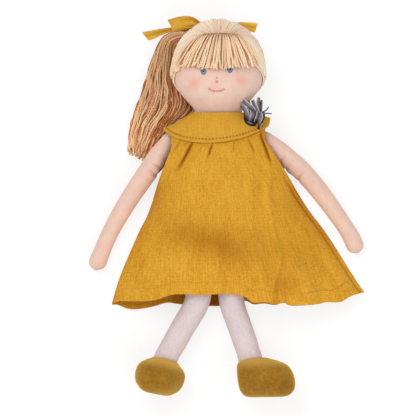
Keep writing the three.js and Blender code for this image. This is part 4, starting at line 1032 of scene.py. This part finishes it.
def make_neck():
    """The short stuffed neck, from inside the torso into the head."""
    share = np.linspace(0, 1, 14)
    line = stack(HEAD_C[0] * share, lerp(55.0, 70.0, share), lerp(TORSO_Z, CHIN_Z, share))
    waist = 1 - 0.05 * np.sin(PI * share)
    obj = ring_tube("neck_cloth", line, 20.5 * waist, 14 * waist, 14 * waist, SKIN_CLOTH, 40)
    fit(obj, "neck", "skin_cloth", "neck")


ELBOW = 0.28  # share of the arm's length
# share of the arm's length, then the radius
ARM_FULL = [
    (0, 3.6), (0.05, 6.2), (0.115, 8.8), (0.19, 10.4), (0.3, 10.1), (0.55, 9.3), (0.8, 8.35), (0.92, 8.8), (1, 8.8),
]
ARM_HEIGHT = [(0, 27), (ELBOW, 20.8), (0.5, 16.2), (0.75, 11.2), (1, 9.0)]


def make_arm(side, name, creases, plan):
    """One skin from shoulder to hand, creased and puckered at the elbow.

    Each crease is its place from the elbow, its depth and its half width.
    """
    steps, sides = 84, 44
    flat = through(plan, steps)
    far = lengths(flat)
    share = far / far[-1]
    z = knots(share, ARM_HEIGHT)
    line = stack(*flat.T, z)
    radius = np.maximum(knots(share, ARM_FULL) * dome(far[-1] - far, 8.8) * dome(far, 10.0), 0.15)
    obj = ring_tube(f"{name}_arm", line, radius, radius, np.minimum(radius, z - 0.4), LIMB_CLOTH, sides)
    elbow = int(np.argmin(np.abs(share - ELBOW)))
    swell(obj, 3.0, 0.8, [*range(6 * sides), *range(elbow * sides, (elbow + 1) * sides)])
    p = points_of(obj)
    ring = np.minimum(np.arange(len(p)) // sides, steps - 1)
    from_elbow = far[ring] - far[elbow]
    out = unit(p - line[ring])
    inner = 0.35 - 0.55 * side * out[:, 0] - 0.35 * out[:, 1]
    top = np.clip(0.35 + 0.65 * inner, 0, 1) * (out[:, 2] > -0.6)
    pinch = 1.5 * bump(from_elbow, 0, 1.5) - 0.5 * bump(np.abs(from_elbow), 4.4, 2.4)
    pinch += 0.4 * np.sin(np.arctan2(out[:, 2], out[:, 0]) * 15) * bump(from_elbow, 0, 4.5)
    # painted shade: warm and darker on the inner side round the elbow and in its creases
    tint = 0.5 * np.clip(inner, 0, 1) ** 2 * bump(from_elbow, 0, 30)
    for at, deep, half in creases:
        crease = deep * bump(from_elbow + 4 * out[:, 2], at, half)
        pinch += crease
        tint += 0.7 * crease * np.clip(1.4 * inner - 0.2, 0, 1)
    mark(obj, blush=np.clip(tint, 0, 0.85))
    p -= out * (pinch * top)[:, None]
    p[:, 2] = np.maximum(p[:, 2], 0.2)
    set_points(obj, p)
    refine(obj)
    back = 9 * unit(line[elbow - 3] - line[elbow + 3])
    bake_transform(obj)
    layers = "upper_arm_skin", "upper_arm_stuffing", "forearm_skin", "forearm_stuffing"
    stand_for(obj, "skin_cloth", *(f"{name}_{layer}" for layer in layers))


KNEE_Y = -121.0
LEG_IN_SHOE = 13.0
LEG_WIDTH = [(0, 15), (0.2, 14.4), (0.45, 12.5), (0.8, 12.1), (1, 11.8)]


def foot_axes(side, foot, toe):
    """Down the foot, forward to the toe, and across."""
    foot, toe = math.radians(foot), math.radians(toe)
    down = np.array([side * math.sin(foot), -math.cos(foot), 0.0])
    forward = np.array([side * math.sin(toe), 0.0, math.cos(toe)])
    forward = unit(forward - down * (forward @ down))
    return down, forward, np.cross(down, forward)


def make_leg(side, name, hip_x, shin, length, ankle_z, foot):
    """A stocking leg from the hip seam to the ankle, and on into the shoe. Returns the ankle's place."""
    sides, angle = 44, math.radians(shin)
    hip, knee = np.array([hip_x, -67.0, TORSO_Z]), np.array([hip_x, KNEE_Y, 19.5])
    ankle = np.array([hip_x + side * length * math.sin(angle), KNEE_Y - length * math.cos(angle), ankle_z])
    end = ankle + foot_axes(side, foot, 0)[0] * LEG_IN_SHOE
    line = through([hip, lerp(hip, knee, 0.5), knee, lerp(knee, ankle, 0.5), ankle, end], 66)
    far = lengths(line)
    wide = np.maximum(knots(far / far[-1], LEG_WIDTH) * dome(far, 15), 0.3)
    high = np.minimum(lerp(2.0, 12.9, np.sin(PI / 2 * np.clip(far / 30, 0, 1))), wide)
    obj = ring_tube(f"{name}_leg_stocking", line, wide, high, high, STOCKING, sides)
    swell(obj, 3.0, 0.6)
    p = points_of(obj)
    ring = np.minimum(np.arange(len(p)) // sides, len(line) - 1)
    out = unit(p - line[ring])
    past_rim = far[ring] - (far[-1] - LEG_IN_SHOE - 8)
    p -= out * (0.5 * bump(past_rim, -2, 2.5) + 0.25 * np.sin(out[:, 0] * 9) * bump(past_rim, 0, 6))[:, None]
    set_points(obj, p)
    refine(obj)
    fit(obj, f"{name}_leg", "stocking", f"{name}_leg_skin", f"{name}_leg_stuffing")
    return ankle


# share of the height, then half width, reach of the toe and of the heel
SHOE_LEVELS = np.array([
    [0, 13.4, 13.6, 13.4], [0.03, 16.4, 18.6, 14.6], [0.08, 19.6, 26, 15.6], [0.16, 22.2, 33.6, 15.8],
    [0.26, 24.0, 38.4, 15.4], [0.38, 25.0, 41.6, 14.6], [0.5, 25.2, 43.8, 14.0], [0.65, 24.5, 45.0, 13.2],
    [0.8, 22.2, 44.2, 12.2], [0.9, 18.4, 41.4, 10.6], [0.96, 13.5, 37, 8.0], [0.99, 8, 31, 5.0],
])
SHOE_LIP = [[0.1, 11.9, 11.9, 11.9], [0.01, 12.2, 12.2, 12.2]]
SHOE_FORWARD, SHOE_RISE = 3.0, 2.6


def make_shoe(side, name, ankle, foot, toe, over, tall, shift, slim):
    """A soft stuffed shoe: rings down the foot, with the front of the mouth standing up against the leg."""
    down, forward, across = foot_axes(side, foot, toe)
    at = ankle - down * over + forward * SHOE_FORWARD + X * shift
    a = circle(56)[:, None]
    s, c = np.sin(a), np.cos(a)
    seen = (s * forward + c * across) @ (0.8 * Z + 0.6 * forward)
    tongue = np.clip(seen / seen.max(), 0, 1)[:, None]
    levels = through(SHOE_LEVELS, 36)
    depth = levels[:, 0].copy()
    levels[:, 1:] -= 0.5 * bump(depth, 0.86, 0.025)[:, None]  # the sole's seam
    taken_in = 1.0 + 2.4 * bump(depth, 0.12, 0.15) + 2.0 * bump(depth, 0.92, 0.17)
    levels[:, 1] -= slim * taken_in * ease(depth, 0, 0.04)
    rings = []
    for height, half, front, back in np.vstack([SHOE_LIP, levels]):
        drop = tall * height + SHOE_RISE * (1 - tongue) * (1 - ease(height, 0, 0.3))
        rings.append(at + down * drop + forward * (np.where(s > 0, front, back) * s) + across * (half * c))
    points, faces = close_rings(np.array(rings), rings[0].mean(0), rings[-1].mean(0))
    points[:, 2] = np.maximum(points[:, 2], 0.3)
    obj = put(f"{name}_shoe", points, faces, VELOUR, points)
    obj.data.flip_normals()  # the rings run the other way round
    # painted highlight at the rim and painted sheen at the sides
    mark(obj, nap=nap_of(obj, (points - at) @ down))
    swell(obj, 2.0, 0.6)
    refine(obj)
    fit(obj, f"{name}_leg", "velour", f"{name}_shoe_upper", f"{name}_shoe_sole", f"{name}_foot_stuffing")


def nap_of(obj, along):
    """How much paler the pile is painted, as highlight and sheen: most at the rim in front of the leg, and some at
    the steep sides.
    """
    normals = np.zeros(len(along) * 3, np.float32)
    obj.data.vertices.foreach_get("normal", normals)
    aside = 1 - np.clip(normals[2::3], 0, 1)
    return np.clip(0.8 * (1 - ease(along, 1, 13)) + 0.45 * aside**1.5, 0, 0.9)


make_torso()
make_neck()
make_arm(
    -1, "right", ((-4, 1.0, 1.2), (4.5, 0.7, 1.2), (-15, 0.5, 1.6)),
    [(-44.2, 49), (-48.4, 41.2), (-53.2, 32), (-62, 18.6), (-74.6, 0.4), (-87, -18), (-98, -36), (-107.6, -54),
     (-115.4, -72), (-120, -84), (-121.6, -90.5)],
)
make_arm(
    1, "left", ((-6, 1.0, 1.4), (19, 0.9, 1.3), (-15, 0.5, 1.6)),
    [(43.4, 49.4), (48.6, 42.6), (54.4, 36), (66.4, 24.8), (81.8, 12), (93.8, -0.6), (107.4, -17.4), (120.4, -35.4),
     (131.8, -52.6), (138, -65), (141, -73.4)],
)
right_ankle = make_leg(-1, "right", hip_x=-19.8, shin=28.5, length=67, ankle_z=17.6, foot=15)
left_ankle = make_leg(1, "left", hip_x=14.6, shin=18.0, length=63, ankle_z=21.8, foot=5)
make_shoe(-1, "right", right_ankle, foot=13, toe=20, over=1.4, tall=37.6, shift=1.4, slim=1)
make_shoe(1, "left", left_ankle, foot=1, toe=58, over=3.6, tall=40.4, shift=1.2, slim=0)


# Collar

COLLAR_TILT = 0.075
COLLAR_TIP, COLLAR_LOBE = 2.2, 2.8  # its left end stands up and swells by this much
COLLAR_SEAM = 0.875  # share of the way to the outer edge
COLLAR_STITCHES, COLLAR_DASH = 92, 0.32


def swing_from(swing, start):
    """The angle round the neck from a start, between half a turn back and half a turn on."""
    return (swing - start + PI) % TAU - PI


def collar_point(swing, share, lift):
    """A point of the round collar: swing goes round the neck, share from the neck edge to the outer edge."""
    s, c = np.sin(swing), np.cos(swing)
    share = np.asarray(share, float)
    full = (np.sqrt(s**2 + 0.03) - 0.173) / 0.842
    edge = stack(1.5 + 26 * c, 67.0 + 0.3 * np.clip(s, 0, 1), 28.5 + 20 * s)
    outer = stack(-0.3 + 54 * c, 67 - lerp(10.5, 30, full), 26.4 + np.where(s > 0, 28.6, 24) * s)
    normal = unit(stack(0.45 * c, 0.45, s))
    arch = share * (1 - share)
    rise = lift + 8 * arch * lerp(0.35, 1, np.abs(s))
    tip = np.clip((share - 0.78) / 0.22, 0, 1) ** 2 * bump(s, 0, 0.4)
    point = lerp(edge, outer, share[..., None]) + normal * rise[..., None]
    point[..., 1] += COLLAR_TILT * point[..., 0] * ease(share, 0, 0.7) - 2.4 * tip - 9 * arch * bump(s, 0, 0.45)
    point[..., 0] -= np.sign(c) * 1.4 * tip
    point[..., 1] += COLLAR_TIP * ease(share, 0.45, 0.95) * bump(swing_from(swing, 0.1), 0, 0.3)
    point[..., 0] += COLLAR_LOBE * ease(share, 0.6, 1) * bump(swing_from(swing, 0.42), 0, 0.26)
    return point, normal


def turn_with_neck(obj):
    """Bakes the piece's transform into its points."""
    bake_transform(obj)


def make_collar():
    """A ring of cloth with a rolled edge and a seam along it."""
    around, across = 200, 26
    swing, share = np.meshgrid(circle(around), np.linspace(0, 1, across), indexing="ij")
    ripple = 0.35 * np.sin(swing * 9 + 1.3) * share + 0.25 * np.sin(swing * 17 + 0.4) * share**2
    seam = -0.45 * bump(share, COLLAR_SEAM, 0.022)
    roll = 0.75 * ease(share, 0.9, 0.97) - 1.3 * ease(share, 0.985, 1.0) + 0.5 * ease(1 - share, 0.955, 1.0)
    points, _ = collar_point(swing, share, ripple + seam + roll)
    # painted shade along the seam and under the rolled edge
    fold = 0.2 * bump(share, COLLAR_SEAM, 0.025) + 0.5 * ease(share, 0.985, 1.0)
    last = (around - 1) * across
    faces = grid_faces(around, across)
    faces += [[last + j, j, j + 1, last + j + 1] for j in range(across - 1)]
    obj = put("collar_yoke", points, turned(faces), COLLAR_GAUZE, points[..., :2], fold=fold)
    thicken(obj, 1.1, 1)
    turn_with_neck(obj)
    stand_for(obj, "gauze", "collar", "collar_piping")


def collar_stitches():
    """Stitches along the collar's seam, up to the flower that is pinned to it."""
    runs = []
    for i in range(COLLAR_STITCHES):
        ends = TAU * np.array([i, i + COLLAR_DASH]) / COLLAR_STITCHES
        if not -0.1 < swing_from(ends[0], 0) < 0.54:
            p, n = collar_point(ends, np.full(2, COLLAR_SEAM), np.full(2, 0.55))
            runs.append((p[0], p[1], n[0]))
    stitches("collar_topstitch", runs, 0.62, OCHRE, "torso", None, "thread", 5, 5)


make_collar()
collar_stitches()


# Dress

# level, then the sideways place of the side seam
RIGHT_EDGE = [
    (66, -30), (48, -40.5), (38, -43.4), (15, -52), (-1, -58), (-32, -67.8), (-55, -79), (-96, -96.4), (-124, -105),
    (-140, -110),
]
LEFT_EDGE = [
    (66, 30), (50, 42), (43, 46), (32, 53.4), (11, 66.6), (-26, 88.6), (-55, 110), (-100, 138.6), (-116, 149.6),
    (-140, 164),
]
# sideways place, then the level of the hem in front, and how far the back's hem hangs below it
FRONT_HEM = [
    (-112, -123.6), (-104, -123.4), (-97, -121.4), (-68, -121), (-52, -116.4), (-42, -114.2), (-15, -115), (1, -114),
    (16, -114.2), (27, -117), (34, -122.6), (45, -122), (55, -124.2), (64, -122.4), (71, -125.6), (95, -124.4),
    (106, -122.2), (120, -122), (134, -116), (148, -112.6), (156, -112),
]
BACK_HANGS = [
    (-112, 1), (-104, 1.5), (-86, 8), (-66, 6.4), (-52, 6.6), (-40, 10), (-9, 11.4), (0, 12), (18, 8), (32, 2.4),
    (48, 1.6), (70, 0.4), (150, 0.2),
]
# level, then the height of the cloth over the middle of the doll
RIDGE = [
    (-160, 41), (-118, 40.6), (-100, 40.2), (-80, 40.8), (-62, 43.4), (-42, 49.6), (-20, 55.4), (8, 56), (40, 54),
    (70, 54),
]
# level, then the sideways place of the soft crest that falls from the left pleat
SIDE_CREST = [(-140, 56), (-103, 57), (-83, 63), (-67, 61), (-47, 55.5), (-17, 51.5), (13, 53), (40, 50)]
# both ends of a fold that starts at the collar, its half width and its depth
PLEATS = [
    (-23.6, 39, -42, 4, 1.5, 4.6), (-4.4, 37, -9.6, 21, 0.85, 3.2), (31, 41, 38.5, 25, 0.85, 2.0),
    (43.6, 44, 56, 12, 1.15, 4.2), (17, 37.5, 16, 26, 0.9, 1.0), (-36, 41, -44, 26, 1.0, 1.4),
    (-14, 37.5, -18, 26, 0.9, 1.0),
]
# level, then how high the back panel's edge stands to meet the front's at the side seam and round the arm
BACK_EDGE = [
    (60, 8), (48, 7), (40, 8.5), (30, 11), (18, 10), (8, 12), (0, 15.5), (-8, 12), (-16, 5.5), (-24, 0.6), (-32, 0),
    (-140, 0),
]
HEM_SEAM = 12.2  # from the hem's edge
HEM_SHOWS = 88.0  # past here the hem's stitches are thicker and of a darker thread


def edges(y):
    return knots(y, RIGHT_EDGE), knots(y, LEFT_EDGE)


def pleat(x, y, x0, y0, x1, y1, half):
    """1 on a fold line that starts at the collar and fades out at its lower end."""
    t = (y - y0) / (y1 - y0)
    widen = half * (1 + 0.8 * np.clip(t, 0, 1))
    fade = ease(t, -0.25, 0.0) * (1 - ease(t, 0.55, 1.05))
    return bump(x, lerp(x0, x1, np.clip(t, 0, 1.2)), widen) * fade


def drape(x, y, u):
    """Height of the front panel, and how deep in a fold each point lies, which is also painted as shade."""
    right, left = edges(y)
    away = np.clip(np.where(x < 0, x / right, x / left), 0, 1)
    side = lerp(1.7, 40.0, ease(y, -24, 18))  # the floor at the skirt's edge, the arm at the armhole
    z = lerp(side, knots(y + 0.07 * x, RIDGE), (1 - away**2.5) ** 0.82)
    free = np.clip(1 - away**6, 0, 1)
    broad = 1.5 * np.cos(TAU * (5.2 * u + 0.06 * np.sin(y / 23)))
    narrow = 0.8 * np.cos(TAU * (11.3 * u + 0.2 + 0.05 * np.sin(y / 17)))
    z = z + (broad + narrow) * lerp(0.25, 1.0, ease(-y, -6, 118)) * free
    crest = knots(y, SIDE_CREST)
    swell_of_crest = 2.6 * bump(x, crest, 3.0) - 2.2 * bump(x, crest + 8, 6) - 1.2 * bump(x, crest - 9, 5)
    z = z + free * ease(-y, -30, 0) * swell_of_crest
    z = z + 1.1 * free * bump(x, 34.7, 2.2) * ease(-y, -32, -10) * (1 - ease(-y, 40, 75))
    z = z - 1.6 * bump(y + 0.42 * x, -66, 11) * bump(x, 6, 36)
    hem_waves = np.sin(x / 6.4 + 0.6) * ease(np.abs(x), 30, 60) + 0.5 * np.sin(x / 3.9 + 2)
    z = z + 1.8 * free * ease(-y, 60, 118) * hem_waves
    deep = np.zeros_like(x)
    for x0, y0, x1, y1, half, depth in PLEATS:
        fold = pleat(x, y, x0, y0, x1, y1, half)
        out = np.sign(x0)
        puff = pleat(x, y, x0 + out * 4.2, y0, x1 + out * 4.8, y1 - 10, half * 1.8)
        z = z - depth * fold + 0.55 * depth * puff
        deep = np.maximum(deep, fold * min(1.0, depth / 3.6))
    return z, deep


def front_panel():
    """The gathered front, from under the collar to the hem. Returns its points and the level of its hem."""
    u, v = np.meshgrid(np.linspace(0, 1, 190), np.linspace(0, 1, 170))
    tucked, _ = collar_point(np.radians(lerp(152, 28, u)), np.full(u.shape, 0.97), -1.9)
    hem = knots(lerp(edges(-123.0)[0], edges(-116.0)[1], u), FRONT_HEM)
    y = lerp(tucked[..., 1], hem, v)
    right, left = edges(y)
    x = lerp(tucked[..., 0], lerp(right, left, u), ease(v, 0, 0.14))
    z, deep = drape(x, y, u)
    z = lerp(tucked[..., 2], z, ease(v, 0.0, 0.035))
    from_hem = y - hem
    z = z + 0.5 * ease(12.5 - from_hem, 0, 1.0) - 0.4 * bump(from_hem, HEM_SEAM, 0.8)
    seam = bump(left - x, 5.0, 1.0) * ease(-y, -14, 10)
    points = stack(x, y, np.maximum(z, 1.6) - 0.9 * seam)
    # painted shade: in the pleats, along the hem seam and the side seam, over the lap and at the side
    lap_shade = 0.34 * bump(y + 0.36 * x, -66, 15) * bump(x, 0, 46)
    lap_shade += 0.16 * bump(y + 0.12 * x, -60, 18) * ease(x - right, 6, 40) * ease(left - x, 10, 60)
    side_shade = 0.3 * bump(x, 66, 14) * bump(y, -104, 9) + 0.12 * bump(x, 84, 22) * bump(y, -66, 30)
    fold = 0.75 * deep + 0.03 * bump(from_hem, HEM_SEAM, 0.7) + 0.6 * seam + lap_shade + side_shade
    fab = stack(lerp(-150, 150, u) * lerp(0.75, 1, v), y)
    obj = cloth("dress_front", points, 0.9, GAUZE, fab, fold=np.clip(fold, 0, 0.8))
    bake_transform(obj)
    stand_for(obj, "gauze", "bodice_front", "skirt_front")
    return points, hem


def back_panel():
    """The back, flat on the floor, raised over the closing tapes and tucked under the collar."""
    u, v = np.meshgrid(np.linspace(0, 1, 110), np.linspace(0, 1, 70))
    hem_x = lerp(edges(-124.0)[0], edges(-116.0)[1], u)
    y = lerp(51 - 9 * np.sin(PI * u) ** 0.7, knots(hem_x, FRONT_HEM) - knots(hem_x, BACK_HANGS), v)
    right, left = edges(y)
    x = lerp(right, left, u)
    lap = ease(x, -12, -6) * (1 - ease(x, 5.2, 6.6)) * ease(y, -66, -58)
    wave = 0.7 + 0.6 * ease(-y, 90, 124) * (1 + np.sin(x / 7.3)) * (1 + 1.6 * bump(x, -80, 20))
    side = knots(y, BACK_EDGE) * ease(np.abs(2 * u - 1), 0.66, 1.0) ** 1.3
    under_collar = 4.0 + 1.8 * np.minimum((x / 20) ** 2, 2.5)
    z = lerp(wave + 2.7 * lap, under_collar, ease(y, 34, 41)) + side
    # painted shade: darker towards the hem and between the legs
    fold = 0.4 * ease(-y, 100, 118) + 0.55 * bump(x, -6, 13) * ease(-y, 96, 110)
    obj = cloth("dress_back", stack(x, y, np.maximum(z, 0.6)), 0.9, GAUZE, fold=fold)
    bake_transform(obj)
    stand_for(obj, "gauze", "bodice_back_right", "bodice_back_left", "skirt_back")


PLACKET_X, PLACKET_Y = (-8.0, 8.6), (31.0, -57.0)


def placket():
    """The strip behind the back opening."""
    x, y = np.meshgrid(np.linspace(*PLACKET_X, 13), np.linspace(*PLACKET_Y, 70))
    points = stack(x, y, 0.75 + 0.12 * np.sin(y / 3.1 + x))
    # painted shade along its left edge, under the opening
    obj = cloth("dress_placket", points, 0.7, GAUZE, fold=0.25 * bump(x, PLACKET_X[1], 1.2))
    fit(obj, "torso", "gauze")


def closing_tape(name, node, z):
    """One of the two tapes that close the back, with its short fuzz."""
    u, v = np.meshgrid(np.linspace(-1, 1, 9), np.linspace(-1, 1, 40))
    points = stack(4.5 * u, 23 * v, z + 0.06 * np.sin(u * 14) * np.sin(v * 60))
    fit(cloth(name, points, 0.4, TAPE, points), "torso", "tape", node)


def hem_stitches(points, hem):
    """A row of stitches along the hem's seam."""
    row = np.abs(points[..., 1] - hem - HEM_SEAM).argmin(0)
    seam = points[row, np.arange(len(row))] + 0.42 * Z
    line = resample(seam[2:-2], 361)
    runs = [(line[i], line[i + 2], Z) for i in range(0, 358, 4)]
    flat = [run for run in runs if run[0][0] <= HEM_SHOWS]
    dented = [run for run in runs if run[0][0] > HEM_SHOWS]
    stitches("hem_topstitch", flat, 0.3, HEM_FLOSS, "lap", None, "thread", 5, 5)
    stitches("hem_end_stitch", dented, 0.4, OCHRE, "lap", None, "thread", 5, 5)


panel_points, panel_hem = front_panel()
back_panel()
placket()
closing_tape("loop_tape_strip", "closure_loop_tape", 1.5)
closing_tape("hook_tape_strip", "closure_hook_tape", 2.3)
hem_stitches(panel_points, panel_hem)


# Corsage

FLOWER = np.array([35.5, 63.5, 43.5])
# places along a strip seen from the front, its half width, height, arch and lean
CORSAGE_STRIPS = [
    ([(27.7, 62.8), (29.7, 58.4), (34, 55.7), (39, 55.3)], 1.7, 3, 2, 0.5),
    ([(41.9, 58.4), (42.9, 54.5), (41.5, 50.6)], 1.8, 3.5, 2.5, 0.3),
    ([(28.1, 67), (30, 61.5), (35, 57.5)], 1.8, 3.5, 3, 0.6),
    ([(46, 68), (45.6, 62), (42, 55)], 1.9, 4, 3, -0.5),
    ([(24.2, 74.6), (27.7, 71.1), (30.9, 64), (31.7, 59)], 2.5, 7.5, 3, 0.35),
    ([(26.4, 79.4), (30.6, 75.6), (36.2, 71.2), (39.4, 66)], 2.4, 8, 4, 0.5),
    ([(30.5, 78.6), (32.4, 73), (33, 68), (33, 63)], 2.3, 4.6, 3, -0.45),
    ([(35.6, 79.7), (37.2, 75.8), (40, 70.3), (42.7, 64.5)], 2.2, 6.5, 4, 0.45),
    ([(41.5, 82.5), (40.8, 76.6), (41.9, 71.8), (42.9, 66)], 2.1, 7, 3, -0.4),
    ([(44.6, 79.6), (44.4, 73.5), (44.2, 67)], 1.3, 5.5, 2, 0.4),
    ([(34.2, 70.6), (35.7, 65.5), (33.9, 59.6)], 2.7, 8.5, 4, -0.3),
    ([(42.2, 68), (43.4, 62.4), (41, 56.4)], 2.8, 8, 4, 0.35),
    ([(40.6, 69), (39.6, 63.2), (37.4, 58)], 1.4, 10.5, 3, -0.5),
]
# from the flower's middle
CORSAGE_ENDS = [
    [(6, 2, 3), (10, 4.2, 5), (13.5, 6.2, 6), (16.2, 9.6, 6)],
    [(5, 1, 2), (10, 2.4, 5), (14.5, 3.0, 5.6), (19, 2.6, 4)],
]


def pin_to_collar(obj, *nodes):
    turn_with_neck(obj)
    stand_for(obj, "felt", *nodes)


def corsage_strips():
    """A loose tuft of felt strips, each arched, leaning and cupped."""
    local = np.random.default_rng(41)
    steps, columns = 16, 7
    t = np.linspace(0, 1, steps)[:, None]
    w = np.linspace(-1, 1, columns)
    parts, faces, folds, naps = [], [], [], []
    for places, half, height, rise, lean in CORSAGE_STRIPS:
        arch = FLOWER[2] + height + rise * np.sin(PI * t)
        centre = np.column_stack([through(places, steps), arch])
        along = unit(np.gradient(centre, axis=0))
        side = unit(np.cross(Z, along))
        turn = lean + local.normal(0, 0.12) + 0.5 * (t - 0.5)
        lie = side * np.cos(turn) + np.cross(along, side) * np.sin(turn)
        width = half * np.sin(PI * lerp(0.2, 0.86, t)) ** 0.6
        spread, cup = lie[:, None] * (width * w)[..., None], np.cross(along, lie)[:, None]
        grid = centre[:, None] + spread + cup * (w**2 * width / half)[..., None]
        # painted shade low in the tuft, towards each strip's end and on its unlit side; painted highlight on its lit
        # edge
        low = 1 - ease(grid[..., 2] - FLOWER[2], 3.5, 9.5)
        lit = w * np.sign(lean)
        folds.append(np.clip(0.75 * low + 0.55 * ease(t, 0.55, 1.0) + 0.6 * ease(-lit, 0.1, 1.0), 0, 0.95))
        naps.append((1 - 0.6 * low) * ease(lit, 0.3, 1.0) * local.uniform(0.6, 1))
        faces += grid_faces(steps, columns, start=len(parts) * steps * columns)
        parts.append(grid)
    points = np.reshape(parts, (-1, 3))
    points[:, 2] = np.maximum(points[:, 2], FLOWER[2] + 1.0)
    obj = put("corsage_strips", points, faces, FELT, points, fold=folds, nap=naps)
    thicken(obj, 0.9, 1)
    pin_to_collar(obj, *(f"flower_petal_{i}" for i in range(1, 8)))


def corsage_heart():
    """The coil of felt that the strips are sewn to."""
    t = np.linspace(0, 1, 60)
    a = t * TAU * 3.2
    ring = lerp(0.6, 8.2, t)
    coil = FLOWER + stack(ring * np.cos(a), 2 + 1.2 * ring * np.sin(a), lerp(7, 3, t))
    # painted shade: the coil is darkened as the shadowed middle of the tuft
    pin_to_collar(tubes("corsage_heart", coil[None], 2.0, FELT, 8, fold=0.9), "flower_base")


def corsage_ends():
    """Two thin ends that stand out of the tuft."""
    steps = 20
    paths = [through(FLOWER + np.array(places), steps) for places in CORSAGE_ENDS]
    obj = tubes("corsage_ends", paths, np.linspace(0.95, 0.6, steps), FELT, 8)
    pin_to_collar(obj, "flower_end_upper", "flower_end_lower")


corsage_strips()
corsage_heart()
corsage_ends()


# Stage

WORLD_LIGHT = 0.61
# place and size in metres, power in watts
LAMPS = ("key", (-0.45, 0.6, 1.5), 0.8, 8.8), ("fill", (0.35, -0.8, 1.2), 1.0, 5.3)
CAMERA = (-0.009, -0.028, 14.0)
SENSOR, VIEW_WIDTH, VIEW_LEVEL = 36, 0.416, 0.025
FLOOR_HALF, FLOOR_Z = 9000, -0.3


def pale_floor():
    """A floor that the camera sees as nearly white, with soft shadows."""
    m = Shade("pale_floor", specular=0.0)
    m.plug(m.bsdf.inputs["Base Color"], (0.93, 0.93, 0.93, 1))
    share = m.math("MULTIPLY", m.light_path("Is Camera Ray"), 0.7)
    floor = m.node("MixShader", share, m.bsdf.outputs[0], m.node("Emission", None, 1.06))
    m.plug(m.tree.nodes["Material Output"].inputs[0], floor)
    return m.material


def make_world(scene):
    """White where it is seen, and weaker as light."""
    world = scene.world = bpy.data.worlds.new("studio")
    world.use_nodes = True
    sky = Nodes(world.node_tree)
    shine = sky.math("MAXIMUM", sky.light_path("Is Glossy Ray"), sky.light_path("Is Transmission Ray"))
    seen = sky.math("MAXIMUM", sky.light_path("Is Camera Ray"), shine)
    background = sky.tree.nodes["Background"].inputs
    sky.plug(background["Strength"], sky.ramp(seen, 0, 1, WORLD_LIGHT, 1.0))
    sky.plug(background["Color"], (1, 1, 1, 1))


def add_object(name, data, at):
    obj = bpy.data.objects.new(name, data)
    obj.location = at
    bpy.context.collection.objects.link(obj)
    return obj


def make_stage():
    scene = bpy.context.scene
    corners = [(x * FLOOR_HALF, y * FLOOR_HALF, FLOOR_Z) for x, y in ((-1, -1), (1, -1), (1, 1), (-1, 1))]
    put("floor", corners, [[0, 1, 2, 3]], pale_floor())
    make_world(scene)
    for name, at, size, power in LAMPS:
        lamp = bpy.data.lights.new(name, "AREA")
        lamp.size, lamp.energy = size, power
        add_object(name, lamp, at).rotation_euler = (-Vector(at)).to_track_quat("-Z", "Y").to_euler()
    camera = bpy.data.cameras.new("camera")
    camera.sensor_width, camera.clip_end = SENSOR, 40
    camera.lens = SENSOR * (CAMERA[2] - VIEW_LEVEL) / VIEW_WIDTH
    scene.camera = add_object("camera", camera, CAMERA)
    scene.view_settings.view_transform = "Standard"


make_stage()
